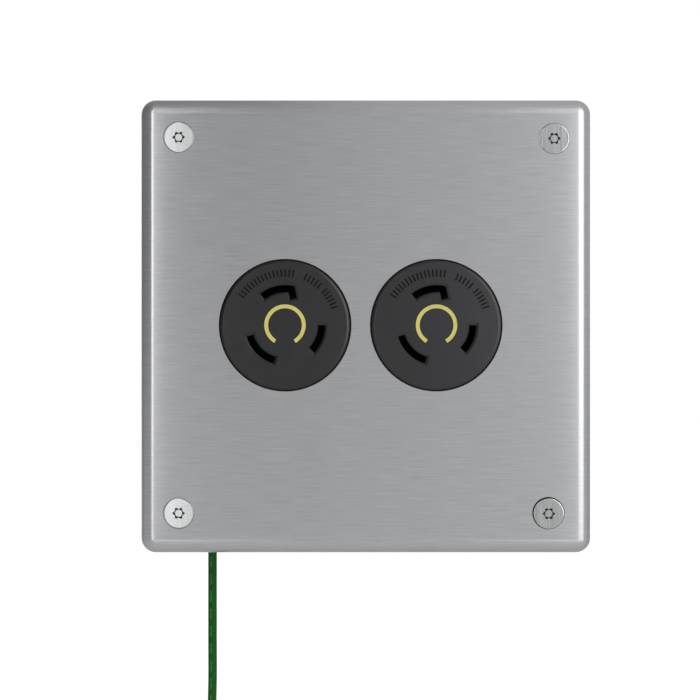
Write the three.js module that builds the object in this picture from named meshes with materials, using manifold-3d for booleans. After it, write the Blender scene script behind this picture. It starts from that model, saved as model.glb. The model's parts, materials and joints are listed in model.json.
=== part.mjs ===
// Stainless surface box with two 20 A locking receptacles in its cover, and a green bonding lead below.
// Millimetres. +X right, +Z up, the front faces -Y. The origin is the centre of the back face, at the wall.
import * as THREE from 'three';
import { mergeVertices } from 'three/addons/utils/BufferGeometryUtils.js';
import Module from 'manifold-3d';

const wasm = await Module();
wasm.setup();

// ---------------------------------------------------------------- driving dimensions
const GAP = 0.3; // clear space kept between neighbouring pieces
const WEB = 1.5; // thickness of the stainless sheet
const PAST = 1; // how far a cutting tool reaches past the face that it cuts

const FRONT = -64; // outer plane of the cover
const COVER = { width: 138, height: 139, depth: 14, corner: 4.2, bend: 3.6 };
const BOX = { width: 134.2, height: 135.2, corner: 2.4, bend: 2.2 };
const MOUTH = { width: 108.4, height: 109.4, corner: 18 }; // front opening of the box
const GASKET = { thick: 1.5, inset: 1 };
const FIXING_HOLE = { radius: 2.75, x: 46, z: 46 }; // wall fixings in the back

// Two-gang spacing, and openings for the standard 1.58 in face of a 20 A locking receptacle
const RECEPTACLES = { left: -24.62, right: 21.42 };
const RECEPTACLE_Z = 0.3;
const FACE = { radius: 19.7, proud: 1.2, edge: 1.1, flange: 21.7, flangeThick: 3, hole: 20.05 };
const STRAP_STUD = { radius: 2, length: 6, sunk: 0.5 }; // welded to the inside of the cover
const STRAP = { thick: 1.3, disc: 22.6, width: 20, length: 103, pitch: 83.3 };
const HOUSING = { depth: 28.3, lug: 14, lugFrom: 18, lugReach: 28, lugDepth: 10.6, screwAt: 25 };
const HOUSING_SCREW = { radius: 1.5, head: 2.8, headThick: 2, edge: 0.7, slotHalf: 0.45, slotDeep: 0.9 };
const CAVITY = { inner: 8.3, outer: 13.8, turn: 5, depth: 18.6 }; // room for a contact; turn in degrees
const CONTACT = { inner: 8.7, outer: 13.4, turn: 2.5, throatInner: 9.5, throatOuter: 12.6, floor: 2 };

// Blade slots of a face, in degrees from +X towards +Z, and in radii
const SLOT = { inner: 10, outer: 12.2, chamfer: 0.65 };
const SLOTS = {
  line: { from: -43.5, to: 0 },
  neutral: { from: 196.5, to: 253.4 },
  ground: { from: 74.7, to: 128.5 },
};
const KEY_LEG = { width: 2.2, foot: [2.6, 7.96], tilt: 12.6 }; // straight leg of the L-shaped slot
const BAND = { inner: 5.04, outer: 6.36, from: -58.8, to: 238.8, depth: 0.45, groove: 0.2, under: 0.15 };

// Countersunk M5 screws with a pinned six-lobe recess
const SCREW = { head: 4.65, edge: 0.15, thread: 2.5, point: 0.8, length: 13 };
const RECESS = { radius: 1.55, lobe: 0.27, depth: 1.8, pin: 0.8 };
const SCREWS = {
  top_left: [-57.1, 57.6],
  top_right: [57.35, 57.2],
  bottom_left: [-57.1, -57],
  bottom_right: [55.7, -57.1],
};
const RIVET_NUT = { head: 4.6, headThick: 0.9, barrel: 3.5, length: 10.5, bulge: 4.8, slope: 0.6, crest: 1 };
const NUT_FLANGE = { wide: 0.6, thick: 0.8 };
const STRAP_NUT = { flats: 7, thick: 3.2 };
const STUD_NUT = { flats: 8, thick: 4 };
const WASHER_THICK = 1;

const TERMINAL = { screw: 1.5, head: 3.1, headThick: 2.3, edge: 0.5, slotDeep: 1.1, slotHalf: 0.5, at: 11 };
const CLAMP = { half: 3.3, thick: 1 };
const SCREW_CLEAR = 2; // from the tip of a binding screw to the floor of its cavity
const WIRE_HOLE = { at: 16.4, radius: 2, depth: 5 };
const WIRE = 2.9; // outside diameter of every insulated lead
const STUD = { radius: 2.5, length: 12, x: -50.9, z: -22 };
const LEAD = { x: -50.9, y: -24 }; // where the bonding lead leaves the bottom wall
const BUSHING = { shank: 4, skirt: 6, skirtThick: 2.2, clip: 5, clipThick: 3, rise: 1 }; // half widths
const JUMPER = { bend: 5, out: 11, round: 0.3 };
const LUG = { plate: 0.8, ring: 5, hole: 2.8, barrel: 2.2, bore: 1.6, reach: 9.5, barrelLong: 7, lap: 2 };
const ENTRY = { x: 0, z: 41, hole: 11.1, flange: 13.5, bore: 8.2 }; // supply cable entry in the back
const ENTRY_RIM = { recess: 0.2, thick: 3, lip: 1 };

// Sides of the round pieces, by size
const SIDES = { tiny: 8, small: 12, medium: 20, large: 36 };

// Depths worked out from the sheet, the gasket and the gaps, counted from the wall forward
const COVER_INSIDE = FRONT + WEB;
const GASKET_FRONT = COVER_INSIDE + GAP;
const BOX_FRONT = GASKET_FRONT + GASKET.thick + GAP;
const STRAP_FRONT = COVER_INSIDE + GAP;
const STRAP_BACK = STRAP_FRONT + STRAP.thick;
const FLANGE_FRONT = STRAP_BACK + GAP;
const FLANGE_BACK = FLANGE_FRONT + FACE.flangeThick;
const HOUSING_FRONT = FLANGE_BACK + GAP;
const HOUSING_BACK = HOUSING_FRONT + HOUSING.depth;
const BOTTOM = -BOX.height / 2;

// ---------------------------------------------------------------- solids from geometry
// Closed solid of a geometry: shared corners merged, collapsed triangles dropped, faces turned outwards.
function toSolid(geometry) {
  const bare = geometry.clone();
  bare.deleteAttribute('normal');
  bare.deleteAttribute('uv');
  const merged = mergeVertices(bare, 1e-4);
  const index = merged.index.array;
  const triangles = [];
  for (let i = 0; i < index.length; i += 3) {
    const [a, b, c] = [index[i], index[i + 1], index[i + 2]];
    if (a !== b && b !== c && c !== a) triangles.push(a, b, c);
  }
  const places = new Float32Array(merged.attributes.position.array);
  if (signedVolume(places, triangles) < 0) triangles.reverse();
  const mesh = new wasm.Mesh({ numProp: 3, vertProperties: places, triVerts: new Uint32Array(triangles) });
  return new wasm.Manifold(mesh);
}

function signedVolume(places, triangles) {
  const corner = (k) => new THREE.Vector3().fromArray(places, 3 * triangles[k]);
  let total = 0;
  for (let i = 0; i < triangles.length; i += 3) {
    total += corner(i).dot(corner(i + 1).cross(corner(i + 2)));
  }
  return total / 6;
}

function toGeometry(solid) {
  const { vertProperties, triVerts } = solid.getMesh();
  const geometry = new THREE.BufferGeometry();
  geometry.setAttribute('position', new THREE.BufferAttribute(vertProperties, 3));
  geometry.setIndex(new THREE.BufferAttribute(triVerts, 1));
  geometry.computeVertexNormals();
  return geometry;
}

const join = (...solids) => solids.reduce((whole, next) => whole.add(next));
const cut = (solid, ...tools) => tools.reduce((left, tool) => left.subtract(tool), solid);

// Cylinder along Y from the plane `back` forward to the plane `front`
function cylinder(radius, back, front, [x, z] = [0, 0], sides = SIDES.medium) {
  const geometry = new THREE.CylinderGeometry(radius, radius, back - front, sides);
  geometry.translate(x, (back + front) / 2, z);
  return toSolid(geometry);
}

function block([x0, x1], [y0, y1], [z0, z1]) {
  const geometry = new THREE.BoxGeometry(x1 - x0, y1 - y0, z1 - z0);
  geometry.translate((x0 + x1) / 2, (y0 + y1) / 2, (z0 + z1) / 2);
  return toSolid(geometry);
}

// Profile of [radius, y] points turned round the Y axis
function turned(profile, sides = SIDES.small) {
  const points = profile.map(([r, y]) => new THREE.Vector2(r, y));
  return toSolid(new THREE.LatheGeometry(points, sides));
}

// Solid through a stack of outlines in X-Z, all with the same number of points
function lofted(rings) {
  const count = rings[0].outline.length;
  const places = rings.flatMap(({ outline, y }) => outline.flatMap(([x, z]) => [x, y, z]));
  const index = [];
  for (let ring = 0; ring < rings.length - 1; ring++) {
    for (let j = 0; j < count; j++) {
      const a = ring * count + j;
      const b = ring * count + ((j + 1) % count);
      index.push(a, b, b + count, a, b + count, a + count);
    }
  }
  const flat = (ring) => ring.outline.map(([x, z]) => new THREE.Vector2(x, z));
  const last = count * (rings.length - 1);
  for (const [a, b, c] of THREE.ShapeUtils.triangulateShape(flat(rings[0]), [])) index.push(c, b, a);
  for (const [a, b, c] of THREE.ShapeUtils.triangulateShape(flat(rings.at(-1)), [])) {
    index.push(last + a, last + b, last + c);
  }
  const geometry = new THREE.BufferGeometry();
  geometry.setAttribute('position', new THREE.Float32BufferAttribute(places, 3));
  geometry.setIndex(index);
  return toSolid(geometry);
}

const prism = (outline, back, front) => lofted([{ outline, y: back }, { outline, y: front }]);

// ---------------------------------------------------------------- outlines
const radians = THREE.MathUtils.degToRad;
const polar = (radius, degrees) => [radius * Math.cos(radians(degrees)), radius * Math.sin(radians(degrees))];

function arc(radius, from, to, steps, [x, z] = [0, 0]) {
  return Array.from({ length: steps + 1 }, (_, i) => {
    const [dx, dz] = polar(radius, from + ((to - from) * i) / steps);
    return [x + dx, z + dz];
  });
}

function roundedRectangle(width, height, corner, steps = 3) {
  const [cx, cz] = [width / 2 - corner, height / 2 - corner];
  const centres = [[cx, cz], [-cx, cz], [-cx, -cz], [cx, -cz]];
  return centres.flatMap((centre, i) => arc(corner, 90 * i, 90 * (i + 1), steps, centre));
}

// Piece of a flat ring, between two radii and two angles
function sector(inner, outer, from, to, steps = 5) {
  return [...arc(outer, from, to, steps), ...arc(inner, to, from, steps)];
}

// Plain blade slot, grown all round by `grow`
function slotOutline({ from, to }, grow) {
  const turn = THREE.MathUtils.radToDeg(grow / SLOT.inner);
  return sector(SLOT.inner - grow, SLOT.outer + grow, from - turn, to + turn);
}

// L-shaped slot: an arc with a straight leg that points inwards at its right end
function keyedSlotOutline({ to }, grow) {
  const turn = THREE.MathUtils.radToDeg(grow / SLOT.inner);
  const up = [-Math.sin(radians(KEY_LEG.tilt)), Math.cos(radians(KEY_LEG.tilt))];
  const across = [up[1], -up[0]];
  const half = KEY_LEG.width / 2 + grow;
  const foot = (side) => KEY_LEG.foot.map((v, i) => v - grow * up[i] + side * half * across[i]);
  const [right, left] = [foot(1), foot(-1)];
  const angleWhereMeets = (base, radius) => {
    const b = base[0] * up[0] + base[1] * up[1];
    const t = -b + Math.sqrt(b * b - base[0] ** 2 - base[1] ** 2 + radius ** 2);
    return THREE.MathUtils.radToDeg(Math.atan2(base[1] + t * up[1], base[0] + t * up[0]));
  };
  const [outer, inner] = [SLOT.outer + grow, SLOT.inner - grow];
  return [
    right,
    ...arc(outer, angleWhereMeets(right, outer), to + turn, 6),
    ...arc(inner, to + turn, angleWhereMeets(left, inner), 6),
    left,
  ];
}

// Six-lobe star of a screw recess
function lobes(radius, depth, points = 24) {
  return Array.from({ length: points }, (_, i) => {
    const angle = (360 * i) / points;
    return polar(radius + depth * Math.cos(radians(6 * angle)), angle);
  });
}

// ---------------------------------------------------------------- finishes
const finish = (color, roughness, metalness) => () =>
  new THREE.MeshStandardMaterial({ color, roughness, metalness });
const stainless = finish(0xb2b4b6, 0.38, 1);
const zinc = finish(0xa8abb0, 0.4, 1);
const brass = finish(0xc79a4b, 0.35, 1);
const tinned = finish(0xb9b8b2, 0.35, 1);
const blackNylon = finish(0x3c3d3f, 0.55, 0);
const yellowInlay = finish(0xe5d982, 0.5, 0);
const foam = finish(0x2b2b2c, 0.9, 0);
const whiteVinyl = finish(0xdedfdc, 0.5, 0);
const blackVinyl = finish(0x19191a, 0.5, 0);
const greenVinyl = finish(0x1c5a22, 0.45, 0);
const greenSteel = finish(0x2f6b3c, 0.4, 0.6);

function piece(name, solid, material) {
  const mesh = new THREE.Mesh(toGeometry(solid), material());
  mesh.name = name;
  return mesh;
}

// ---------------------------------------------------------------- cover
// Folded tray with rounded edges at its `closed` plane, open at the other; `shell` moves every face inwards
function tray({ width, height, corner, bend }, closed, open, shell, steps = 3) {
  const inward = Math.sign(open - closed);
  const radius = bend - shell;
  const rings = Array.from({ length: steps + 1 }, (_, i) => {
    const angle = (Math.PI / 2) * (i / steps);
    const inset = shell + radius * (1 - Math.cos(angle));
    const outline = roundedRectangle(width - 2 * inset, height - 2 * inset, corner - inset);
    return { outline, y: closed + inward * (shell + radius * (1 - Math.sin(angle))) };
  });
  return lofted([{ outline: rings[0].outline, y: open }, ...rings]);
}

function countersink([x, z]) {
  const mouth = SCREW.head + GAP;
  const [before, behind] = [FRONT - PAST, COVER_INSIDE + PAST];
  const profile = [[0, before], [mouth, before], [mouth, FRONT], [mouth - WEB, COVER_INSIDE]];
  profile.push([mouth - WEB, behind], [0, behind]);
  return turned(profile).translate(x, 0, z);
}

// Welded studs that hold the receptacle straps
const strapFixings = Object.values(RECEPTACLES).flatMap((x) =>
  [1, -1].map((side) => [x, RECEPTACLE_Z + (side * STRAP.pitch) / 2]));

function cover() {
  const outside = tray(COVER, FRONT, FRONT + COVER.depth, 0);
  const inside = tray(COVER, FRONT, FRONT + COVER.depth + PAST, WEB);
  const openings = Object.values(RECEPTACLES).map((x) =>
    cylinder(FACE.hole, COVER_INSIDE + PAST, FRONT - PAST, [x, RECEPTACLE_Z], SIDES.large));
  const { radius, length, sunk } = STRAP_STUD;
  const studs = strapFixings.map((place) =>
    cylinder(radius, STRAP_BACK + length, COVER_INSIDE - sunk, place, SIDES.tiny));
  const sheet = cut(outside, inside, ...openings, ...Object.values(SCREWS).map(countersink));
  return piece('front_cover', join(sheet, ...studs), stainless);
}

function coverGasket() {
  const [width, height] = [BOX.width - 2 * GASKET.inset, BOX.height - 2 * GASKET.inset];
  const outer = prism(roundedRectangle(width, height, BOX.corner), GASKET_FRONT + GASKET.thick, GASKET_FRONT);
  const inner = prism(roundedRectangle(MOUTH.width, MOUTH.height, MOUTH.corner), BOX_FRONT, FRONT);
  const holes = Object.values(SCREWS).map((place) =>
    cylinder(RIVET_NUT.head + GAP, BOX_FRONT, FRONT, place, SIDES.small));
  return piece('cover_gasket', cut(outer, inner, ...holes), foam);
}

// Countersunk screw along Y, its head flush with the cover
function coverScrew(corner, [x, z]) {
  const neck = SCREW.head - SCREW.thread;
  const tip = FRONT + SCREW.length;
  const blank = turned([
    [0, FRONT],
    [SCREW.head - SCREW.edge, FRONT],
    [SCREW.head, FRONT + SCREW.edge],
    [SCREW.thread, FRONT + SCREW.edge + neck],
    [SCREW.thread, tip - SCREW.point],
    [SCREW.thread - SCREW.point, tip],
    [0, tip],
  ]);
  const recess = cut(
    prism(lobes(RECESS.radius, RECESS.lobe), FRONT + RECESS.depth, FRONT - PAST),
    cylinder(RECESS.pin, FRONT + RECESS.depth + PAST, FRONT + GAP, [0, 0], SIDES.tiny),
  );
  const screw = piece(`cover_screw_${corner}`, cut(blank, recess), stainless);
  screw.position.set(x, 0, z);
  return screw;
}

// ---------------------------------------------------------------- box
function boxBody() {
  const outside = tray(BOX, 0, BOX_FRONT, 0);
  const inside = tray(BOX, 0, BOX_FRONT + WEB, WEB);
  const behind = BOX_FRONT + WEB + PAST;
  const mouth = prism(roundedRectangle(MOUTH.width, MOUTH.height, MOUTH.corner), behind, FRONT);
  const nutHoles = Object.values(SCREWS).map((place) =>
    cylinder(RIVET_NUT.barrel + GAP, behind, FRONT, place, SIDES.small));
  const wallHoles = [[1, 1], [-1, 1], [-1, -1], [1, -1]].map(([sx, sz]) =>
    cylinder(FIXING_HOLE.radius, PAST, -WEB - PAST, [sx * FIXING_HOLE.x, sz * FIXING_HOLE.z], SIDES.small));
  const entry = cylinder(ENTRY.hole + GAP, PAST, -WEB - PAST, [ENTRY.x, ENTRY.z]);
  const around = (at) => [at - BUSHING.shank, at + BUSHING.shank];
  const leadHole = block(around(LEAD.x), around(LEAD.y), [BOTTOM - PAST, BOTTOM + WEB + PAST]);
  const stud = cylinder(STUD.radius, -WEB / 2, -WEB - STUD.length, [STUD.x, STUD.z], SIDES.small);
  const folded = cut(outside, inside, mouth, entry, leadHole, ...nutHoles, ...wallHoles);
  return piece('back_box', join(folded, stud), stainless);
}

// Threaded insert set in the box's front flange
function rivetNut(corner, [x, z]) {
  const seat = BOX_FRONT - GAP;
  const back = BOX_FRONT + WEB + GAP;
  const bore = SCREW.thread + GAP;
  const widest = back + RIVET_NUT.slope;
  const nut = turned([
    [bore, seat - RIVET_NUT.headThick],
    [RIVET_NUT.head, seat - RIVET_NUT.headThick],
    [RIVET_NUT.head, seat],
    [RIVET_NUT.barrel, seat],
    [RIVET_NUT.barrel, back],
    [RIVET_NUT.bulge, widest],
    [RIVET_NUT.bulge, widest + RIVET_NUT.crest],
    [RIVET_NUT.barrel, widest + RIVET_NUT.crest + RIVET_NUT.slope],
    [RIVET_NUT.barrel, seat + RIVET_NUT.length],
    [bore, seat + RIVET_NUT.length],
    [bore, seat - RIVET_NUT.headThick],
  ]);
  const mesh = piece(`rivet_nut_${corner}`, nut, zinc);
  mesh.position.set(x, 0, z);
  return mesh;
}

// Snap-in bushing of the supply cable entry, flush with the back
function entryBushing() {
  const seat = -WEB - GAP;
  const rim = seat - ENTRY_RIM.thick;
  const profile = [
    [ENTRY.bore, -ENTRY_RIM.recess],
    [ENTRY.hole, -ENTRY_RIM.recess],
    [ENTRY.hole, seat],
    [ENTRY.flange, seat],
    [ENTRY.flange, rim + ENTRY_RIM.lip],
    [ENTRY.flange - ENTRY_RIM.lip, rim],
    [ENTRY.bore + ENTRY_RIM.lip, rim],
    [ENTRY.bore, rim + ENTRY_RIM.lip],
    [ENTRY.bore, -ENTRY_RIM.recess],
  ];
  const mesh = piece('rear_entry_bushing', turned(profile, SIDES.medium), blackNylon);
  mesh.position.set(ENTRY.x, 0, ENTRY.z);
  return mesh;
}

// Square-shanked strain-relief bushing of the bonding lead, in the bottom wall
function leadBushing() {
  const across = (half) => [-half, half];
  const shankAcross = across(BUSHING.shank - GAP);
  const skirtAcross = across(BUSHING.skirt);
  const below = BOTTOM - GAP;
  const above = BOTTOM + WEB + GAP;
  const shank = block(shankAcross, shankAcross, [below - BUSHING.rise, above + BUSHING.rise]);
  const skirt = block(skirtAcross, skirtAcross, [below - BUSHING.skirtThick, below]);
  const clip = block(across(BUSHING.clip), shankAcross, [above, above + BUSHING.clipThick]);
  const boreLong = 4 * (BUSHING.skirtThick + BUSHING.clipThick);
  const bore = new THREE.CylinderGeometry(WIRE / 2 + GAP, WIRE / 2 + GAP, boreLong, SIDES.small);
  bore.rotateX(Math.PI / 2);
  bore.translate(0, 0, BOTTOM);
  const mesh = piece('lead_bushing', cut(join(shank, skirt, clip), toSolid(bore)), blackNylon);
  mesh.position.set(LEAD.x, LEAD.y, 0);
  return mesh;
}

// ---------------------------------------------------------------- receptacle
function receptacleFace(side) {
  const front = FRONT - FACE.proud;
  const edge = arc(FACE.edge, 0, 90, 2, [FACE.radius - FACE.edge, 0])
    .map(([r, rise]) => [r, front + FACE.edge - rise]);
  const disc = turned([
    [0, FLANGE_BACK],
    [FACE.flange, FLANGE_BACK],
    [FACE.flange, FLANGE_FRONT],
    [FACE.radius, FLANGE_FRONT],
    ...edge,
    [0, front],
  ], SIDES.large);
  const chamfered = (outline) => [
    prism(outline(0), FLANGE_BACK + PAST, front - PAST),
    lofted([
      { outline: outline(0), y: front + SLOT.chamfer },
      { outline: outline(SLOT.chamfer), y: front },
      { outline: outline(SLOT.chamfer), y: front - PAST },
    ]),
  ];
  const slots = [
    ...chamfered((grow) => slotOutline(SLOTS.line, grow)),
    ...chamfered((grow) => slotOutline(SLOTS.neutral, grow)),
    ...chamfered((grow) => keyedSlotOutline(SLOTS.ground, grow)),
  ];
  const turn = THREE.MathUtils.radToDeg(BAND.groove / BAND.outer);
  const groove = sector(
    BAND.inner - BAND.groove, BAND.outer + BAND.groove, BAND.from - turn, BAND.to + turn, 24);
  const grooveCut = prism(groove, front + BAND.depth + BAND.under, front - PAST);
  return piece(`receptacle_${side}_face`, cut(disc, grooveCut, ...slots), blackNylon);
}

function bandInlay(side) {
  const front = FRONT - FACE.proud;
  const outline = sector(BAND.inner, BAND.outer, BAND.from, BAND.to, 24);
  return piece(`receptacle_${side}_ring_inlay`, prism(outline, front + BAND.depth, front), yellowInlay);
}

function receptacleStrap(side) {
  const [halfWidth, halfLength] = [STRAP.width / 2, STRAP.length / 2];
  const plate = join(
    cylinder(STRAP.disc, STRAP_BACK, STRAP_FRONT, [0, 0], SIDES.large),
    block([-halfWidth, halfWidth], [STRAP_FRONT, STRAP_BACK], [-halfLength, halfLength]),
  );
  const holes = [1, -1].flatMap((end) => [
    cylinder(STRAP_STUD.radius + GAP, 0, FRONT, [0, (end * STRAP.pitch) / 2], SIDES.small),
    cylinder(HOUSING_SCREW.radius + GAP, 0, FRONT, [0, end * HOUSING.screwAt], SIDES.tiny),
  ]);
  const centre = cylinder(FACE.radius + GAP, 0, FRONT, [0, 0], SIDES.large);
  return piece(`receptacle_${side}_strap`, cut(plate, centre, ...holes), zinc);
}

const middleOf = ({ from, to }) => (from + to) / 2;
const wirePlace = (slot, turn = 0) => polar(WIRE_HOLE.at, middleOf(SLOTS[slot]) + turn);
const EARTH_TURN = 28; // second wire hole of the ground terminal, round from the first

function receptacleHousing(side) {
  const halfLug = HOUSING.lug / 2;
  const inward = HOUSING_FRONT + HOUSING.lugDepth - FACE.flangeThick;
  const lugs = [1, -1].flatMap((end) => {
    const span = (a, b) => [Math.min(end * a, end * b), Math.max(end * a, end * b)];
    return [
      block([-halfLug, halfLug], [HOUSING_FRONT, inward], span(HOUSING.lugFrom, HOUSING.lugReach)),
      block([-halfLug, halfLug], [FLANGE_FRONT, inward], span(FACE.flange + GAP, HOUSING.lugReach)),
    ];
  });
  const barrel = cylinder(FACE.flange, HOUSING_BACK, HOUSING_FRONT, [0, 0], SIDES.large);
  const floor = HOUSING_FRONT + CAVITY.depth;
  const { inner, outer, turn } = CAVITY;
  const cavities = Object.values(SLOTS).map(({ from, to }) =>
    prism(sector(inner, outer, from - turn, to + turn), floor, HOUSING_FRONT - PAST));
  const behind = HOUSING_BACK + PAST;
  const screwHoles = Object.values(SLOTS).map((slot) =>
    cylinder(TERMINAL.screw + GAP, behind, floor - PAST, polar(TERMINAL.at, middleOf(slot)), SIDES.tiny));
  const wireHoles = [...Object.keys(SLOTS).map((name) => wirePlace(name)), wirePlace('ground', EARTH_TURN)]
    .map((place) => cylinder(WIRE_HOLE.radius, behind, HOUSING_BACK - WIRE_HOLE.depth, place, SIDES.small));
  const bolts = [1, -1].map((end) =>
    cylinder(HOUSING_SCREW.radius + GAP, HOUSING_BACK, FRONT, [0, end * HOUSING.screwAt], SIDES.tiny));
  const solid = cut(join(barrel, ...lugs), ...cavities, ...screwHoles, ...wireHoles, ...bolts);
  return piece(`receptacle_${side}_housing`, solid, blackNylon);
}

// Channel of spring brass that grips a blade between its two curved leaves
function bladeContact(side, name, { from, to }) {
  const front = HOUSING_FRONT + GAP;
  const back = HOUSING_FRONT + CAVITY.depth - GAP;
  const { inner, outer, turn, throatInner, throatOuter } = CONTACT;
  const outline = sector(inner, outer, from - turn, to + turn);
  const throat = sector(throatInner, throatOuter, from - 4 * turn, to + 4 * turn);
  const place = polar(TERMINAL.at, middleOf({ from, to }));
  const hole = cylinder(TERMINAL.screw + GAP, back + PAST, front, place, SIDES.tiny);
  const solid = cut(prism(outline, back, front), prism(throat, back - CONTACT.floor, front - PAST), hole);
  return piece(`receptacle_${side}_${name}_contact`, solid, brass);
}

// Pressure plate between the housing and the head of a binding screw
function terminalClamp(side, name, slot) {
  const back = HOUSING_BACK + GAP + CLAMP.thick;
  const plate = block([-CLAMP.half, CLAMP.half], [HOUSING_BACK + GAP, back], [-CLAMP.half, CLAMP.half]);
  const hole = cylinder(TERMINAL.screw + GAP, back + PAST, HOUSING_BACK, [0, 0], SIDES.tiny);
  return placedAtTerminal(piece(`receptacle_${side}_${name}_clamp`, cut(plate, hole), brass), slot);
}

// Slotted binding screw behind the housing, into its contact
function terminalScrew(side, name, slot, material) {
  const { head, edge, slotHalf, slotDeep } = TERMINAL;
  const seat = HOUSING_BACK + CLAMP.thick + 2 * GAP;
  const top = seat + TERMINAL.headThick;
  const tip = HOUSING_FRONT + CAVITY.depth - SCREW_CLEAR;
  const blank = turned([
    [0, tip],
    [TERMINAL.screw, tip],
    [TERMINAL.screw, seat],
    [head, seat],
    [head, top - edge],
    [head - edge, top],
    [0, top],
  ]);
  const driveSlot = block([-slotHalf, slotHalf], [top - slotDeep, top + PAST], [-head - PAST, head + PAST]);
  return placedAtTerminal(piece(`receptacle_${side}_${name}_screw`, cut(blank, driveSlot), material), slot);
}

function placedAtTerminal(mesh, slot) {
  const [x, z] = polar(TERMINAL.at, middleOf(slot));
  mesh.position.set(x, 0, z);
  mesh.rotation.y = -radians(middleOf(slot));
  return mesh;
}

// Screw that clamps the housing to the strap
function housingScrew(side, end) {
  const { radius, head, headThick, edge, slotHalf, slotDeep } = HOUSING_SCREW;
  const seat = HOUSING_FRONT + HOUSING.lugDepth - FACE.flangeThick + GAP;
  const top = seat + headThick;
  const blank = turned([
    [0, STRAP_FRONT],
    [radius, STRAP_FRONT],
    [radius, seat],
    [head, seat],
    [head, top - edge],
    [head - edge, top],
    [0, top],
  ]);
  const driveSlot = block([-head - PAST, head + PAST], [top - slotDeep, top + PAST], [-slotHalf, slotHalf]);
  const name = end > 0 ? 'upper' : 'lower';
  const mesh = piece(`receptacle_${side}_${name}_housing_screw`, cut(blank, driveSlot), zinc);
  mesh.position.set(0, 0, end * HOUSING.screwAt);
  return mesh;
}

// Flanged hexagon nut on a stud along Y, its flange at the plane `seat`
function hexNut(name, { flats, thick }, bore, [x, z], seat, material) {
  const hexagon = Array.from({ length: 6 }, (_, i) => polar(flats / Math.sqrt(3), 60 * i));
  const flange = cylinder(flats / 2 + NUT_FLANGE.wide, seat + NUT_FLANGE.thick, seat, [0, 0], SIDES.small);
  const hole = cylinder(bore, seat + thick + PAST, seat - PAST, [0, 0], SIDES.small);
  const mesh = piece(name, cut(join(prism(hexagon, seat + thick, seat), flange), hole), material);
  mesh.position.set(x, 0, z);
  return mesh;
}

function receptacle(side, x) {
  const group = new THREE.Group();
  group.position.set(x, 0, RECEPTACLE_Z);
  group.add(receptacleFace(side), bandInlay(side), receptacleStrap(side), receptacleHousing(side));
  const screwFinish = { line: brass, neutral: zinc, ground: greenSteel };
  for (const [name, slot] of Object.entries(SLOTS)) {
    group.add(bladeContact(side, name, slot), terminalClamp(side, name, slot));
    group.add(terminalScrew(side, name, slot, screwFinish[name]));
  }
  for (const end of [1, -1]) {
    group.add(housingScrew(side, end));
    const place = [0, (end * STRAP.pitch) / 2];
    const name = `receptacle_${side}_${end > 0 ? 'upper' : 'lower'}_strap_nut`;
    group.add(hexNut(name, STRAP_NUT, STRAP_STUD.radius + GAP, place, STRAP_BACK + GAP, zinc));
  }
  return group;
}

// ---------------------------------------------------------------- leads
// Round lead through the given points, with a step every few millimetres
function lead(name, points, material, steps) {
  const path = new THREE.CatmullRomCurve3(points.map((p) => new THREE.Vector3(...p)), false, 'centripetal');
  const section = new THREE.Shape();
  section.absarc(0, 0, WIRE / 2, 0, 2 * Math.PI, false);
  const options = { curveSegments: SIDES.tiny / 2, steps, extrudePath: path };
  const geometry = new THREE.ExtrudeGeometry(section, options);
  return piece(name, toSolid(geometry), material);
}

// Jumper from one receptacle's terminal straight across to the other's
function jumper(name, slot, material) {
  const [dx, dz] = wirePlace(slot);
  const z = RECEPTACLE_Z + dz;
  const [x0, x1] = [RECEPTACLES.left + dx, RECEPTACLES.right + dx];
  const inside = HOUSING_BACK - WIRE_HOLE.depth + GAP;
  const out = HOUSING_BACK + JUMPER.out;
  const bend = JUMPER.bend;
  const round = JUMPER.round * bend;
  return lead(name, [
    [x0, inside, z],
    [x0, HOUSING_BACK, z],
    [x0, out - bend, z],
    [x0 + round, out - round, z],
    [x0 + bend, out, z],
    [x1 - bend, out, z],
    [x1 - round, out - round, z],
    [x1, out - bend, z],
    [x1, HOUSING_BACK, z],
    [x1, inside, z],
  ], material, 18);
}

// Ring terminal with its plate at depth `back`, the barrel pointing up (+1) or down (-1)
function ringLug(name, [x, z], back, pointing) {
  const plate = join(
    cylinder(LUG.ring, back, back - LUG.plate),
    block([-LUG.barrel, LUG.barrel], [back - LUG.plate, back], [0, LUG.reach]),
  );
  const centre = back - LUG.barrel;
  const upright = (radius, from, to) => {
    const geometry = new THREE.CylinderGeometry(radius, radius, to - from, SIDES.small);
    geometry.rotateX(Math.PI / 2);
    geometry.translate(0, centre, (from + to) / 2);
    return toSolid(geometry);
  };
  const barrel = upright(LUG.barrel, LUG.reach - LUG.lap, LUG.reach + LUG.barrelLong - LUG.lap);
  const bore = upright(LUG.bore, LUG.reach, LUG.reach + LUG.barrelLong);
  const hole = cylinder(LUG.hole, back + PAST, back - LUG.plate - PAST, [0, 0], SIDES.small);
  const mesh = piece(name, cut(join(plate, barrel), bore, hole), tinned);
  mesh.position.set(x, 0, z);
  if (pointing < 0) mesh.rotation.y = Math.PI;
  return mesh;
}

const LUG_MOUTH = LUG.reach + LUG.barrelLong - LUG.lap + GAP; // from the ring's centre to the lead's end
const BOND_LUG_BACK = -WEB - GAP;
const EARTH_LUG_BACK = BOND_LUG_BACK - LUG.plate - GAP;
const LEAD_START = BOTTOM - GAP - BUSHING.skirtThick - GAP; // just below the bushing
const LEAD_END = -214;
const LEAD_DRIFT = -6.5; // how far the free end hangs to the left
const LEAD_SWING = 0.08; // radians off plumb at the free end

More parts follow.
